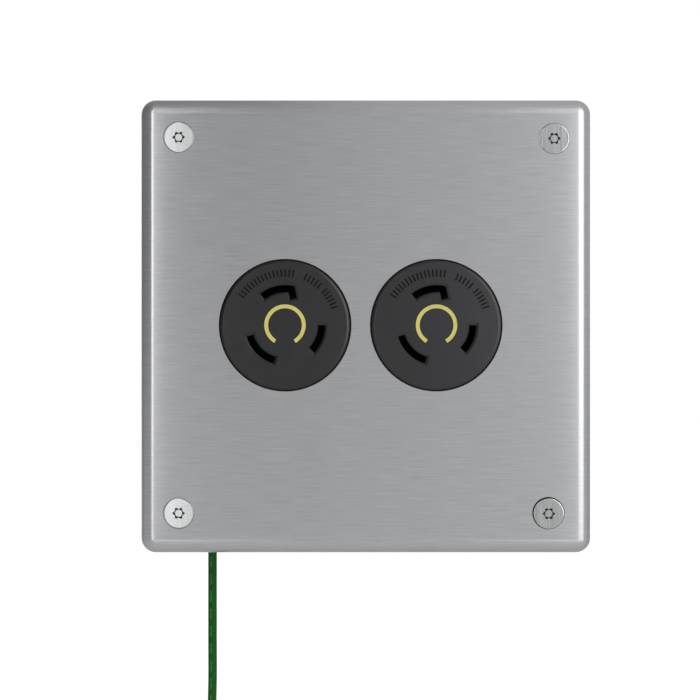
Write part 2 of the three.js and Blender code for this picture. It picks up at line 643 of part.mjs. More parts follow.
function groundParts() {
  const group = new THREE.Group();
  const place = [STUD.x, STUD.z];
  const washerBack = EARTH_LUG_BACK - LUG.plate - GAP;
  const washerFront = washerBack - WASHER_THICK;
  const washer = cut(
    cylinder(LUG.ring, washerBack, washerFront),
    cylinder(LUG.hole, washerBack + PAST, washerFront - PAST, [0, 0], SIDES.small),
  );
  const washerMesh = piece('ground_stud_washer', washer, zinc);
  washerMesh.position.set(STUD.x, 0, STUD.z);
  const nut = hexNut('ground_stud_nut', STUD_NUT, LUG.hole, [0, 0], 0, greenSteel);
  nut.rotation.x = Math.PI;
  nut.position.set(STUD.x, washerFront - GAP, STUD.z);
  group.add(ringLug('bond_lead_inner_lug', place, BOND_LUG_BACK, -1));
  group.add(ringLug('ground_lead_lug', place, EARTH_LUG_BACK, 1), washerMesh, nut);

  const [dx, dz] = wirePlace('ground', EARTH_TURN);
  const start = [RECEPTACLES.left + dx, RECEPTACLE_Z + dz];
  const lugAxis = EARTH_LUG_BACK - LUG.barrel;
  group.add(lead('ground_lead', [
    [start[0], HOUSING_BACK - WIRE_HOLE.depth + GAP, start[1]],
    [start[0], HOUSING_BACK, start[1]],
    [start[0] - 0.5, HOUSING_BACK + 7, start[1] + 1],
    [start[0] - 1.5, -15.5, start[1] + 8],
    [start[0] - 2.5, -11.5, start[1] + 20],
    [-40, -10, 43.5],
    [-45, -9.5, 48],
    [-49.6, -9.2, 43.5],
    [-50.9, -9, 33],
    [STUD.x, -8.5, 14],
    [STUD.x, lugAxis - 0.4, STUD.z + LUG_MOUTH + 7],
    [STUD.x, lugAxis, STUD.z + LUG_MOUTH],
  ], greenVinyl, 22));

  const bondAxis = BOND_LUG_BACK - LUG.barrel;
  group.add(lead('bond_lead_inner', [
    [STUD.x, bondAxis, STUD.z - LUG_MOUTH],
    [STUD.x, bondAxis - 0.5, STUD.z - LUG_MOUTH - 4],
    [STUD.x, bondAxis - 6, -49],
    [LEAD.x, LEAD.y + 4, -56],
    [LEAD.x, LEAD.y, -62],
    [LEAD.x, LEAD.y, LEAD_START + GAP],
  ], greenVinyl, 12));

  group.add(lead('bond_lead', [
    [LEAD.x, LEAD.y, LEAD_START],
    [LEAD.x, LEAD.y, -84],
    [LEAD.x, LEAD.y, -104],
    [LEAD.x, LEAD.y, -118],
    [LEAD.x + LEAD_DRIFT * 0.06, LEAD.y, -132],
    [LEAD.x + LEAD_DRIFT * 0.2, LEAD.y, -150],
    [LEAD.x + LEAD_DRIFT * 0.5, LEAD.y, -176],
    [LEAD.x + LEAD_DRIFT * 0.8, LEAD.y, -198],
    [LEAD.x + LEAD_DRIFT, LEAD.y, LEAD_END],
  ], greenVinyl, 22));
  return group;
}

// Ring terminal crimped on the free end, in line with the lead
function outerLug() {
  const holder = new THREE.Group();
  holder.position.set(LEAD.x + LEAD_DRIFT, LEAD.y, LEAD_END);
  holder.rotation.y = LEAD_SWING;
  const lug = ringLug('bond_lead_outer_lug', [0, 0], LUG.barrel, 1);
  lug.position.z = -LUG_MOUTH;
  return holder.add(lug);
}

// ---------------------------------------------------------------- assembly
const group = new THREE.Group();
group.add(cover(), coverGasket(), boxBody(), entryBushing(), leadBushing());
for (const [corner, place] of Object.entries(SCREWS)) {
  group.add(coverScrew(corner, place), rivetNut(corner, place));
}
for (const [side, x] of Object.entries(RECEPTACLES)) group.add(receptacle(side, x));
group.add(jumper('line_jumper', 'line', blackVinyl));
group.add(jumper('neutral_jumper', 'neutral', whiteVinyl));
group.add(jumper('ground_jumper', 'ground', greenVinyl));
group.add(groundParts(), outerLug());

export default group;
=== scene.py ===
"""Stainless surface box with two locking receptacles: the finished surfaces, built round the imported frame.

Everything is in metres, +X right, +Z up, the front facing -Y, as in the frame.
"""

import json
import math

import bmesh
import bpy
import numpy as np
from bpy.props import FloatProperty, FloatVectorProperty, PointerProperty
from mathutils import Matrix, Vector, geometry


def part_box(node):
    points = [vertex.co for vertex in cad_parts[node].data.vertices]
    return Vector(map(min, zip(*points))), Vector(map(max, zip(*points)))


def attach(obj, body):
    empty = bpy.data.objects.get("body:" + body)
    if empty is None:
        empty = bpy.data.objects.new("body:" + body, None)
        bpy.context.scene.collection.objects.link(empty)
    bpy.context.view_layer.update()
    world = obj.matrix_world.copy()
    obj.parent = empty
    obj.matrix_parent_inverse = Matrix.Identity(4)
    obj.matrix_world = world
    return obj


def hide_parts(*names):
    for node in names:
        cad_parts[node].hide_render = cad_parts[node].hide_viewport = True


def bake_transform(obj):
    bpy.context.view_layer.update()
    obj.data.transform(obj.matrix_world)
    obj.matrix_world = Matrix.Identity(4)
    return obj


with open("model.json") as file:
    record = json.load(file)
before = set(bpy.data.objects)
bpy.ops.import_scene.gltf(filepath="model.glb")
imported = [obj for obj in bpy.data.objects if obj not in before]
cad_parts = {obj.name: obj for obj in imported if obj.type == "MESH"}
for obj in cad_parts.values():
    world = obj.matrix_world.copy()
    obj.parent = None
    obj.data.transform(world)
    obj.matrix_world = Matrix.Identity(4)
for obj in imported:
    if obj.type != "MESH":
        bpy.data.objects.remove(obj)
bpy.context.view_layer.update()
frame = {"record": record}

bl_info = {
    "name": "Locking Receptacle Box",
    "version": (1, 0, 0),
    "blender": (4, 5, 0),
    "location": "3D View > Sidebar > Power Box",
    "description": "Builds a stainless power box with two locking receptacles and a bonding lead",
    "category": "Add Mesh",
}

MM = 0.001
SIDES = ("left", "right")
CORNERS = ("top_left", "top_right", "bottom_left", "bottom_right")
UPRIGHT = ((1, 0, 0), (0, 0, 1), (0, 1, 0))
WELD = 2e-6


def limits(node):
    """Lowest and highest corner of a node at rest, as arrays."""
    low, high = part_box(node)
    return np.array(low), np.array(high)


def middle(node):
    """Centre of a node in the X-Z plane."""
    low, high = limits(node)
    return ((low + high) / 2)[[0, 2]]


BODY_OF = {node: body for body, nodes in frame["record"]["behaviour"]["bodies"].items() for node in nodes}
SLOT_OF = {row["node"]: row["material_slot"] for row in frame["record"]["subparts"]}

COVER_LOW, COVER_HIGH = limits("front_cover")
FRONT = COVER_LOW[1]
SKIRT_END = COVER_HIGH[1]
FACE_LOW, FACE_HIGH = limits("receptacle_left_face")
FACE_FRONT, FACE_BACK = FACE_LOW[1], FACE_HIGH[1]
FACE_FLANGE = (FACE_HIGH[0] - FACE_LOW[0]) / 2


# ---------------------------------------------------------------- settings
def length(name, default, description):
    return FloatProperty(name=name, description=description, default=default, min=0.0, unit="LENGTH", precision=5)


def colour(name, default, description):
    return FloatVectorProperty(
        name=name, description=description, default=default, size=3, min=0.0, max=1.0, subtype="COLOR"
    )


class CoverSettings(bpy.types.PropertyGroup):
    sheet: length("Sheet", 1.5 * MM, "Thickness of the stainless sheet")
    bend: length("Bend radius", 4.3 * MM, "Rounding between the front and the skirt")
    corner: length("Corner radius", 4.5 * MM, "Rounding of the four corners, seen from the front")
    hole: length("Receptacle hole", 20.05 * MM, "Radius of the hole round each receptacle face")
    crown: length("Crown", 0.11 * MM, "How far the front falls back where it meets the folds")
    steel: colour("Steel", (0.61, 0.615, 0.625), "Colour of the brushed steel")


class BoxSettings(bpy.types.PropertyGroup):
    sheet: length("Sheet", 1.5 * MM, "Thickness of the stainless sheet")
    opening: FloatVectorProperty(
        name="Opening",
        description="Width and height of the front opening",
        default=(108.4 * MM, 109.4 * MM),
        size=2,
        unit="LENGTH",
    )
    fixing: length("Wall holes", 46 * MM, "How far the wall holes lie to each side of the middle")
    bend: length("Back bend", 2.2 * MM, "Rounding round the back of the box")
    corner: length("Corner radius", 2.4 * MM, "Rounding of the box's four long edges")
    mouth: length("Mouth corner", 18 * MM, "Corner radius of the front opening")
    steel: colour("Steel", (0.56, 0.565, 0.575), "Colour of the satin steel of the box")


class ScrewSettings(bpy.types.PropertyGroup):
    head: length("Head radius", 4.65 * MM, "Radius of the countersunk heads")
    thread: length("Thread radius", 2.5 * MM, "Radius of the threads")
    lean: FloatProperty(
        name="Lean", description="Outward lean of the two left heads", default=math.radians(3.2), subtype="ANGLE"
    )
    steel: colour("Steel", (0.60, 0.605, 0.61), "Colour of the screws")


class ReceptacleSettings(bpy.types.PropertyGroup):
    radius: length("Face radius", 19.7 * MM, "Radius of the round faces")
    edge: length("Edge", 0.75 * MM, "Width of the bevelled front edge of a face")
    dome: length("Dome", 0.3 * MM, "How far the rim of a face falls back behind its middle")
    slot_inner: length("Slot inner radius", 10.0 * MM, "Inner radius of the blade slots")
    slot_outer: length("Slot outer radius", 12.2 * MM, "Outer radius of the blade slots")
    chamfer: length("Slot chamfer", 0.65 * MM, "Chamfer round the mouth of each slot")
    nylon: colour("Nylon", (0.0030, 0.0031, 0.0036), "Colour of the moulded faces")
    ring: colour("Ring", (0.84, 0.70, 0.18), "Colour of the ring inlays")


class LeadSettings(bpy.types.PropertyGroup):
    diameter: length("Diameter", 2.9 * MM, "Outside diameter of the insulated leads")
    green: colour("Green", (0.010, 0.110, 0.011), "Colour of the bonding and ground leads")
    legend: colour("Print", (0.09, 0.46, 0.08), "Colour of the dashes printed along the bonding lead")


class StageSettings(bpy.types.PropertyGroup):
    distance: length("Camera distance", 400 * MM, "From the lens to the faces of the receptacles")
    scale: FloatProperty(
        name="Scale", description="Metres per dot of a picture 700 dots wide", default=0.30366 * MM, precision=7
    )
    sight: FloatVectorProperty(
        name="Line of sight",
        description="Where the lens stands to the right of the box's centre and above it",
        default=(-4.86 * MM, -7.25 * MM),
        size=2,
        subtype="TRANSLATION",
        unit="LENGTH",
    )
    floor: length("Floor depth", 260 * MM, "How far the floor lies below the box's centre")
    room: FloatProperty(name="Room", description="Brightness of the grey room", default=0.432, min=0.0)
    dark: FloatProperty(name="Dark side", description="Brightness of the room far to the left", default=0.2, min=0.0)
    glow: FloatProperty(name="Floor glow", description="Light of the floor's far side", default=0.88, min=0.0)
    key: FloatProperty(name="Key light", description="Power of the light on the right", default=7.0, unit="POWER")
    fill: FloatProperty(name="Fill light", description="Power of the strip on the left", default=2.0, unit="POWER")


# ---------------------------------------------------------------- outlines in the X-Z plane
def circle(radius, count=96, centre=(0.0, 0.0)):
    """Points at equal turns round a centre, anticlockwise as seen from the front."""
    turn = 2 * np.pi * np.arange(count) / count
    return np.array(centre) + radius * np.stack([np.cos(turn), np.sin(turn)], axis=1)


def polar(radius, angle):
    return radius * np.array([math.cos(angle), math.sin(angle)])


def arc(radius, start, end, steps):
    """Points on a circle round the origin between two angles in degrees, both ends included."""
    turn = np.radians(np.linspace(start, end, steps + 1))
    return radius * np.stack([np.cos(turn), np.sin(turn)], axis=1)


def rounded_rectangle(width, height, corner, steps=10):
    """Four quarter circles of one radius, set at the corners of a smaller rectangle and joined by straight sides."""
    reach = np.array([width / 2 - corner, height / 2 - corner])
    signs = ((1, 1), (-1, 1), (-1, -1), (1, -1))
    return np.concatenate([arc(corner, 90 * i, 90 * i + 90, steps) + reach * s for i, s in enumerate(signs)])


def sector(inner, outer, start, end, steps=24):
    """Piece of a flat ring: out along the larger arc and back along the smaller."""
    return np.concatenate([arc(outer, start, end, steps), arc(inner, end, start, steps)])


def round_hole(radius, place=(0.0, 0.0), count=40):
    """A circle, as a function of how far it is grown."""
    return lambda grow: circle(radius + grow, count, place)


def rounded_hole(width, height, corner, place=(0.0, 0.0), steps=10):
    """A rounded rectangle, as a function of how far it is grown all round."""
    return lambda grow: rounded_rectangle(width + 2 * grow, height + 2 * grow, corner + grow, steps) + place


def turned_box(low, high, angle, place=(0.0, 0.0)):
    """A rectangle between two corners, turned by an angle in radians, as a function of how far it is grown."""
    box = np.array([low, (high[0], low[1]), high, (low[0], high[1])])
    c, s = math.cos(angle), math.sin(angle)

    def outline(grow):
        grown = box + grow * np.array([(-1, -1), (1, -1), (1, 1), (-1, 1)])
        return grown @ np.array([(c, s), (-s, c)]) + place

    return outline


def ridges(count, first, second):
    """Radii that go to and fro between two values, as the crests and roots of a thread do."""
    return np.where(np.arange(count) % 2 == 0, first, second)


def inside(points, loop):
    """True where a point lies in a closed loop, by counting the loop's sides that a level ray crosses."""
    a, b = loop, np.roll(loop, -1, axis=0)
    x, z = points[:, 0, None], points[:, 1, None]
    spans = (a[:, 1] > z) != (b[:, 1] > z)
    rise = np.where(b[:, 1] == a[:, 1], 1.0, b[:, 1] - a[:, 1])
    meets = a[:, 0] + (z - a[:, 1]) * (b[:, 0] - a[:, 0]) / rise
    return (spans & (x < meets)).sum(axis=1) % 2 == 1


# ---------------------------------------------------------------- surfaces
class Surface:
    """Patches of points and faces that are welded into one mesh."""

    def __init__(self):
        self.points = []
        self.sheet = []
        self.faces = []
        self.finishes = []
        self.finish = 0
        self.count = 0

    def add(self, points, faces, sheet=None):
        """Takes a patch; `sheet` is where each point lies on the unfolded sheet, by default its X and Z."""
        self.points.append(points)
        self.sheet.append(points[:, [0, 2]] if sheet is None else sheet)
        self.faces.extend((np.asarray(faces) + self.count).tolist())
        self.finishes.extend([self.finish] * len(faces))
        self.count += len(points)

    def band(self, rings, sheet=None):
        """Closed rings with equal counts, each joined to the next by a row of four-sided faces."""
        rows, count = rings.shape[:2]
        index = np.arange(rows * count).reshape(rows, count)
        after = np.roll(index, -1, axis=1)
        faces = np.stack([index[:-1], after[:-1], after[1:], index[1:]], axis=-1).reshape(-1, 4)
        flat = None if sheet is None else sheet.reshape(-1, 2)
        self.add(rings.reshape(-1, 3), faces, flat)

    def wall(self, outline, steps, centre=(0.0, 0.0)):
        """The outline grown by each step's first number, at the depth of its second, joined in order."""
        rings = []
        for grow, y in steps:
            loop = outline(grow) + np.array(centre)
            rings.append(np.stack([loop[:, 0], np.full(len(loop), y), loop[:, 1]], axis=1))
        self.band(np.array(rings))

    def plate(self, y, outer, holes=(), loose=()):
        """Flat sheet at the depth y inside one loop and outside the others: a constrained triangulation that also
        runs through the loose points."""
        loops = [outer, *holes]
        starts = np.cumsum([0] + [len(loop) for loop in loops])
        edges = []
        for start, loop in zip(starts, loops):
            index = start + np.arange(len(loop))
            edges.extend(np.stack([index, np.roll(index, -1)], axis=1).tolist())
        flat = [Vector(p) for p in np.concatenate([*loops, *loose]).tolist()]
        points, _, faces, *_ = geometry.delaunay_2d_cdt(flat, edges, [], 0, 1e-9)
        points, faces = np.array([tuple(p) for p in points]), np.array(faces)
        centre = points[faces].mean(axis=1)
        keep = inside(centre, outer)
        for hole in holes:
            keep &= ~inside(centre, hole)
        self.add(np.stack([points[:, 0], np.full(len(points), y), points[:, 1]], axis=1), faces[keep])

    def turned(self, profile, centre=(0.0, 0.0), count=48):
        """A profile of (radius, y) points carried once round a line along Y."""
        profile = np.array(profile)
        turn = 2 * np.pi * np.arange(count) / count
        x = centre[0] + profile[:, :1] * np.cos(turn)
        z = centre[1] + profile[:, :1] * np.sin(turn)
        self.band(np.stack([x, np.repeat(profile[:, 1:], count, axis=1), z], axis=-1))

    def pierced(self, loop, holes, start, end, edge):
        """The flat faces of a sheet at two depths, and the walls of its holes, chamfered at both ends."""
        step = math.copysign(edge, end - start)
        for hole in holes:
            self.wall(hole, [(edge, start), (0, start + step), (0, end - step), (edge, end)])
        for y in (start, end):
            self.plate(y, loop, [hole(edge) for hole in holes])

    def slab(self, front, back, outline, holes=(), edge=0.12 * MM):
        """Flat piece between two depths: its outline and its holes are functions of how far they are grown, and
        their edges are chamfered."""
        self.wall(outline, [(-edge, front), (0, front + edge), (0, back - edge), (-edge, back)])
        self.pierced(outline(-edge), holes, front, back, edge)

    def moved(self, matrix, offset=(0.0, 0.0, 0.0)):
        """Every point so far, multiplied by a 3 by 3 matrix and moved."""
        self.points = [points @ np.array(matrix).T + np.array(offset) for points in self.points]
        return self

    def at(self, place):
        """Every point so far, moved to a place in the X-Z plane."""
        return self.moved(np.eye(3), (place[0], 0.0, place[1]))

    def build(self, name, *materials, sharp=35.0):
        """The mesh object: patches welded, faces turned outwards, smooth except across edges sharper than `sharp`."""
        mesh = bpy.data.meshes.new(name)
        mesh.from_pydata(np.concatenate(self.points), [], self.faces)
        for finish in materials:
            mesh.materials.append(finish)
        mesh.polygons.foreach_set("material_index", self.finishes)
        corner = np.zeros(len(mesh.loops), dtype=np.int32)
        mesh.loops.foreach_get("vertex_index", corner)
        layer = mesh.uv_layers.new(name="sheet")
        layer.uv.foreach_set("vector", np.concatenate(self.sheet)[corner].astype(np.float32).ravel())
        work = bmesh.new()
        work.from_mesh(mesh)
        bmesh.ops.remove_doubles(work, verts=work.verts, dist=WELD)
        bmesh.ops.dissolve_degenerate(work, edges=work.edges, dist=1e-7)
        bmesh.ops.recalc_face_normals(work, faces=work.faces)
        work.to_mesh(mesh)
        work.free()
        mesh.shade_smooth()
        mesh.set_sharp_from_angle(angle=math.radians(sharp))
        piece = bpy.data.objects.new(name, mesh)
        bpy.context.scene.collection.objects.link(piece)
        return piece


def settle(piece, node):
    """The piece stands for its node, whose part is hidden, and rides on the node's body."""
    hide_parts(node)
    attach(piece, BODY_OF[node])
    return piece


def finish_node(surface, node, *more, sharp=35.0):
    """Builds a surface in its node's finish, or in the ones given, and puts it in the node's place."""
    piece = surface.build(f"{node}_skin", *(more or [material(SLOT_OF[node])]), sharp=sharp)
    return settle(piece, node)


def smooth_path(points, spacing=0.001):
    """Centripetal Catmull-Rom curve through the points: each stretch is a cubic whose knots are apart by the
    square root of the distances between points, and whose end stretches mirror the point next to the end."""
    points = np.array(points, dtype=float)
    ends = 2 * points[0] - points[1], 2 * points[-1] - points[-2]
    points = np.concatenate([[ends[0]], points, [ends[1]]])
    path = []
    for a, b, c, d in zip(points, points[1:], points[2:], points[3:]):
        knots = np.cumsum([0, *(np.sqrt(np.linalg.norm(q - p)) for p, q in ((a, b), (b, c), (c, d)))])
        count = max(2, math.ceil(np.linalg.norm(c - b) / spacing))
        t = np.linspace(knots[1], knots[2], count, endpoint=False)[:, None]

        def between(p, q, i, j):
            return ((knots[j] - t) * p + (t - knots[i]) * q) / (knots[j] - knots[i])

        left, mid, right = between(a, b, 0, 1), between(b, c, 1, 2), between(c, d, 2, 3)
        path.append(between(between(left, mid, 0, 2), between(mid, right, 1, 3), 1, 2))
    return np.concatenate([*path, points[-2:-1]])


def frames_along(path):
    """Two directions across the path at each point: the first starts along +X and is carried on with no twist."""
    tangent = np.gradient(path, axis=0)
    tangent /= np.linalg.norm(tangent, axis=1, keepdims=True)
    side = np.zeros_like(path)
    across = np.array([1.0, 0.0, 0.0]) if abs(tangent[0][0]) < 0.9 else np.array([0.0, 0.0, 1.0])
    for i, along in enumerate(tangent):
        across = across - along * across.dot(along)
        across = across / np.linalg.norm(across)
        side[i] = across
    return side, np.cross(tangent, side)


def tube(name, path, radius, material, count=24):
    """A circle carried along the path and closed at both ends. The sheet place of a point is its turn round the
    path, from 0 to 1, and its distance along it in metres."""
    side, up = frames_along(path)
    turn = 2 * np.pi * np.arange(count + 1) / count
    ring = side[:, None] * np.cos(turn)[None, :, None] + up[:, None] * np.sin(turn)[None, :, None]
    rings = path[:, None] + radius * ring
    run = np.concatenate([[0], np.cumsum(np.linalg.norm(np.diff(path, axis=0), axis=1))])
    sheet = np.stack(np.broadcast_arrays(turn[None, :] / (2 * np.pi), run[:, None]), axis=-1)
    rows, columns = rings.shape[:2]
    index = np.arange(rows * columns).reshape(rows, columns)
    corners = (index[:-1, :-1], index[:-1, 1:], index[1:, 1:], index[1:, :-1])
    surface = Surface()
    surface.add(rings.reshape(-1, 3), np.stack(corners, axis=-1).reshape(-1, 4), sheet.reshape(-1, 2))
    for end in (0, -1):
        shrink = np.array([1.0, 0.93, 0.0])[:, None, None]
        cap = path[end] + shrink * radius * ring[end]
        surface.band(cap[:, :-1], np.repeat(sheet[end][None, :-1], 3, axis=0))
    return surface.build(name, material, sharp=50.0)


# ---------------------------------------------------------------- materials
def ranged(tree, value, start, end, low, high, easing="SMOOTHSTEP"):
    """The value's way from start to end, eased at both unless told otherwise, as a number from low to high."""
    ramp = tree.nodes.new("ShaderNodeMapRange")
    ramp.interpolation_type = easing
    for name, number in zip(("From Min", "From Max", "To Min", "To Max"), (start, end, low, high)):
        ramp.inputs[name].default_value = number
    tree.links.new(value, ramp.inputs["Value"])
    return ramp.outputs["Result"]


def combined(tree, operation, *values):
    """One arithmetic operation on outputs of other nodes, on plain numbers, or on both."""
    node = tree.nodes.new("ShaderNodeMath")
    node.operation = operation
    for value, socket in zip(values, node.inputs):
        if isinstance(value, float):
            socket.default_value = value
        else:
            tree.links.new(value, socket)
    return node.outputs["Value"]


class Finish:
    """A node material that is built up call by call."""

    def __init__(self, name, colour, roughness, metallic=0.0):
        self.material = bpy.data.materials.new(name)
        self.material.use_nodes = True
        self.tree = self.material.node_tree
        self.shader = self.tree.nodes["Principled BSDF"]
        self.colour = (*colour, 1.0)
        self.set(Metallic=metallic)
        self.shader.inputs["Base Color"].default_value = self.colour
        self.shader.inputs["Roughness"].default_value = roughness
        self.material.diffuse_color = self.colour

    def set(self, **values):
        for name, value in values.items():
            self.shader.inputs[name.replace("_", " ")].default_value = value
        return self

    def node(self, kind, **values):
        node = self.tree.nodes.new("ShaderNode" + kind)
        for name, value in values.items():
            if name in node.inputs:
                node.inputs[name].default_value = value
            else:
                setattr(node, name, value)
        return node

    def link(self, output, target):
        self.tree.links.new(output, target)
        return self

    def place(self, scale, uv=None):
        """Coordinates of the pattern: the unfolded sheet where `uv` names it, and the object's own otherwise."""
        if uv:
            source = self.node("UVMap", uv_map=uv).outputs["UV"]
        else:
            source = self.node("TexCoord").outputs["Object"]
        mapping = self.node("Mapping")
        mapping.inputs["Scale"].default_value = scale
        self.link(source, mapping.inputs["Vector"])
        return mapping.outputs["Vector"]

    def noise(self, scale, detail=4.0, roughness=0.55, uv=None):
        texture = self.node("TexNoise", Scale=1.0, Detail=detail, Roughness=roughness)
        self.link(self.place(scale, uv), texture.inputs["Vector"])
        return texture.outputs["Fac"]

    def spread(self, value, low, high, start=0.3, end=0.7):
        """The value's way from start to end, which are the usual bounds of a noise, as a number from low to high."""
        return ranged(self.tree, value, start, end, low, high, "LINEAR")

    def rough(self, value, low, high):
        return self.link(self.spread(value, low, high), self.shader.inputs["Roughness"])

    def shaded(self, value, low, high, start=0.3, end=0.7):
        """Base colour times a grey that runs from low to high with the value."""
        mix = self.node("Mix", data_type="RGBA")
        mix.inputs[6].default_value = tuple(low * c for c in self.colour[:3]) + (1.0,)
        mix.inputs[7].default_value = tuple(min(high * c, 1.0) for c in self.colour[:3]) + (1.0,)
        self.link(self.spread(value, 0.0, 1.0, start, end), mix.inputs[0])
        return self.link(mix.outputs[2], self.shader.inputs["Base Color"])

    def bump(self, value, depth, strength=1.0):
        """Raises the surface by up to `depth` metres with the value, over any bump made before."""
        bump = self.node("Bump", Strength=strength, Distance=depth)
        earlier = self.shader.inputs["Normal"]
        if earlier.is_linked:
            self.link(earlier.links[0].from_socket, bump.inputs["Normal"])
        self.link(value, bump.inputs["Height"])
        return self.link(bump.outputs["Normal"], earlier)


def brushed(
    name, colour, roughness, along=(90.0, 2600.0, 1.0), depth=1.6e-6, grain=0.75, upright=False, streaks=0.095
):
    """Brushed steel: fine lines on the unfolded sheet, which run in the direction with the smaller number in
    `along`, with faint streaks of colour and reflections that stretch across them."""
    finish = Finish(name, colour, roughness, metallic=1.0)
    lines = finish.noise(along, detail=6.0, roughness=0.65, uv="sheet")
    broad = finish.noise((9.0, 14.0, 9.0), detail=3.0)
    finish.shaded(lines, 1.0 - streaks, 1.0 + streaks)
    blend = finish.node("Mix", data_type="FLOAT")
    blend.inputs[0].default_value = 0.35
    finish.link(lines, blend.inputs[2]).link(broad, blend.inputs[3])
    finish.rough(blend.outputs[0], roughness * 0.9, roughness * 1.12)
    finish.bump(lines, depth)
    finish.set(Anisotropic=grain, Anisotropic_Rotation=0.0 if upright else 0.25)
    tangent = finish.node("Tangent", direction_type="UV_MAP", uv_map="sheet")
    return finish.link(tangent.outputs["Tangent"], finish.shader.inputs["Tangent"]).material


def screw_steel(name, streaks):
    """Turned screw heads, with fine upright streaks."""
    steel = bpy.context.scene.power_screws.steel
    return brushed(name, steel, 0.17, (1900.0, 45.0, 1.0), 1e-6, grain=0.4, upright=True, streaks=streaks)


def moulded(name, colour, roughness, depth=14e-6, shine=0.5, drift=0.0):
    """Moulded plastic: a fine spark-eroded grain with faint flow marks. With `drift` it also gets painted light: a
    colour that grows paler to the right, where the key light falls, by `drift` times itself over the width of the two
    faces."""
    finish = Finish(name, colour, roughness)
    grain = finish.noise((5200.0,) * 3, detail=2.0)
    flow = finish.noise((160.0, 60.0, 110.0), detail=4.0)
    axes = finish.node("SeparateXYZ")
    finish.link(finish.place((1.0, 1.0, 1.0)), axes.inputs["Vector"])
    # painted light: the faces grow paler to the right, where the key light falls
    across = finish.spread(axes.outputs["X"], 0.0, drift, -45 * MM, 42 * MM)
    speckle = finish.noise((2300.0,) * 3, detail=1.0)
    mottle = combined(finish.tree, "ADD", combined(finish.tree, "MULTIPLY", speckle, 0.35), flow)
    mottle_and_painted_light = combined(finish.tree, "ADD", across, combined(finish.tree, "MULTIPLY", mottle, 0.4))
    finish.shaded(mottle_and_painted_light, 0.8, 1.8 + drift, 0.0, 1.0 + drift)
    finish.rough(flow, roughness * 0.92, roughness * 1.1)
    finish.bump(grain, depth)
    finish.set(Specular_IOR_Level=shine)
    return finish.material


def plated(name, colour, roughness, metallic=1.0):
    """Plated or drawn metal: a soft crystalline mottle and fine tumbling marks."""
    finish = Finish(name, colour, roughness, metallic)
    mottle = finish.noise((420.0,) * 3, detail=5.0)
    marks = finish.noise((2600.0,) * 3, detail=3.0)
    finish.shaded(mottle, 0.86, 1.08)
    finish.rough(mottle, roughness * 0.8, roughness * 1.25)
    finish.bump(marks, 4e-6)
    return finish.material


def drawn_vinyl(name, colour, roughness=0.45):
    """Extruded insulation: slow waves along the lead and a faint orange peel."""
    finish = Finish(name, colour, roughness)
    waves = finish.noise((260.0,) * 3, detail=3.0)
    finish.shaded(waves, 0.88, 1.12)
    finish.rough(waves, roughness * 0.9, roughness * 1.2)
    finish.bump(waves, 20e-6)
    return finish.set(Specular_IOR_Level=0.12)


def cell_foam(name, colour):
    """Closed-cell gasket foam: small sunken pores in a soft sheet, darkened with painted shade."""
    finish = Finish(name, colour, 0.85)
    pores = finish.node("TexVoronoi", Scale=1.0)
    finish.link(finish.place((2200.0,) * 3), pores.inputs["Vector"])
    # painted shade: darker towards the sunken middle of each pore
    finish.shaded(pores.outputs["Distance"], 0.6, 1.3, 0.1, 0.7)
    finish.bump(pores.outputs["Distance"], 60e-6)
    return finish.material


MADE = {}


def material(key):
    """Each finish is made once and shared by the pieces that have it."""
    scene = bpy.context.scene
    makers = {
        "brushed_stainless": lambda: brushed("brushed stainless", scene.power_cover.steel, 0.3),
        "satin_stainless": lambda: brushed("satin stainless", scene.power_box.steel, 0.42, grain=0.5),
        "screw_steel": lambda: screw_steel("screw steel", 0.22),
        "worn_screw_steel": lambda: screw_steel("worn screw steel", 0.07),
        # painted shade: a darker steel for the countersink walls and the screw recesses, where shade falls
        "painted_shade_steel": lambda: plated("shaded steel", (0.36, 0.40, 0.41), 0.5),
        # painted shade: a near-black steel for the wider gap round the bottom right screw
        "deep_painted_shade_steel": lambda: plated("dark steel", (0.05, 0.055, 0.06), 0.5),
        "zinc_steel": lambda: plated("zinc plate", (0.60, 0.62, 0.65), 0.36),
        "green_steel": lambda: plated("green plate", (0.05, 0.26, 0.09), 0.4),
        "brass": lambda: plated("brass", (0.72, 0.50, 0.20), 0.32),
        # painted shade: brass darkened almost to black, as the contacts lie deep behind the slots
        "painted_shade_brass": lambda: plated("contact brass", (0.045, 0.033, 0.018), 0.5),
        "tinned_copper": lambda: plated("tin plate", (0.70, 0.68, 0.64), 0.3),
        # drift paints light on the faces: the right one is made paler than the left, where the key light falls
        "black_nylon": lambda: moulded("face nylon", scene.power_receptacles.nylon, 0.3, shine=0.65, drift=5.3),
        "mark_nylon": lambda: moulded("index marks", (0.004, 0.004, 0.004), 0.6, shine=0.15),
        "grey_nylon": lambda: moulded("housing nylon", (0.06, 0.06, 0.064), 0.5),
        "yellow_inlay": lambda: moulded("ring inlay", scene.power_receptacles.ring, 0.45, 6e-6),
        "foam": lambda: cell_foam("gasket foam", (0.03, 0.03, 0.03)),
        "black_vinyl": lambda: drawn_vinyl("black vinyl", (0.016, 0.016, 0.017)).material,
        "white_vinyl": lambda: drawn_vinyl("white vinyl", (0.72, 0.72, 0.68)).material,
        "green_vinyl": lambda: drawn_vinyl("green vinyl", scene.power_leads.green).material,
    }
    if key not in MADE:
        MADE[key] = makers[key]()
    return MADE[key]


# ---------------------------------------------------------------- folded sheet
def quarter_bend(radius, steps):
    """(inset, depth, run) round a quarter circle, from the flat to the side; run is the arc's own length."""
    turn = np.linspace(0, np.pi / 2, steps + 1)
    return np.stack([radius * (1 - np.sin(turn)), radius * (1 - np.cos(turn)), radius * turn], axis=1)


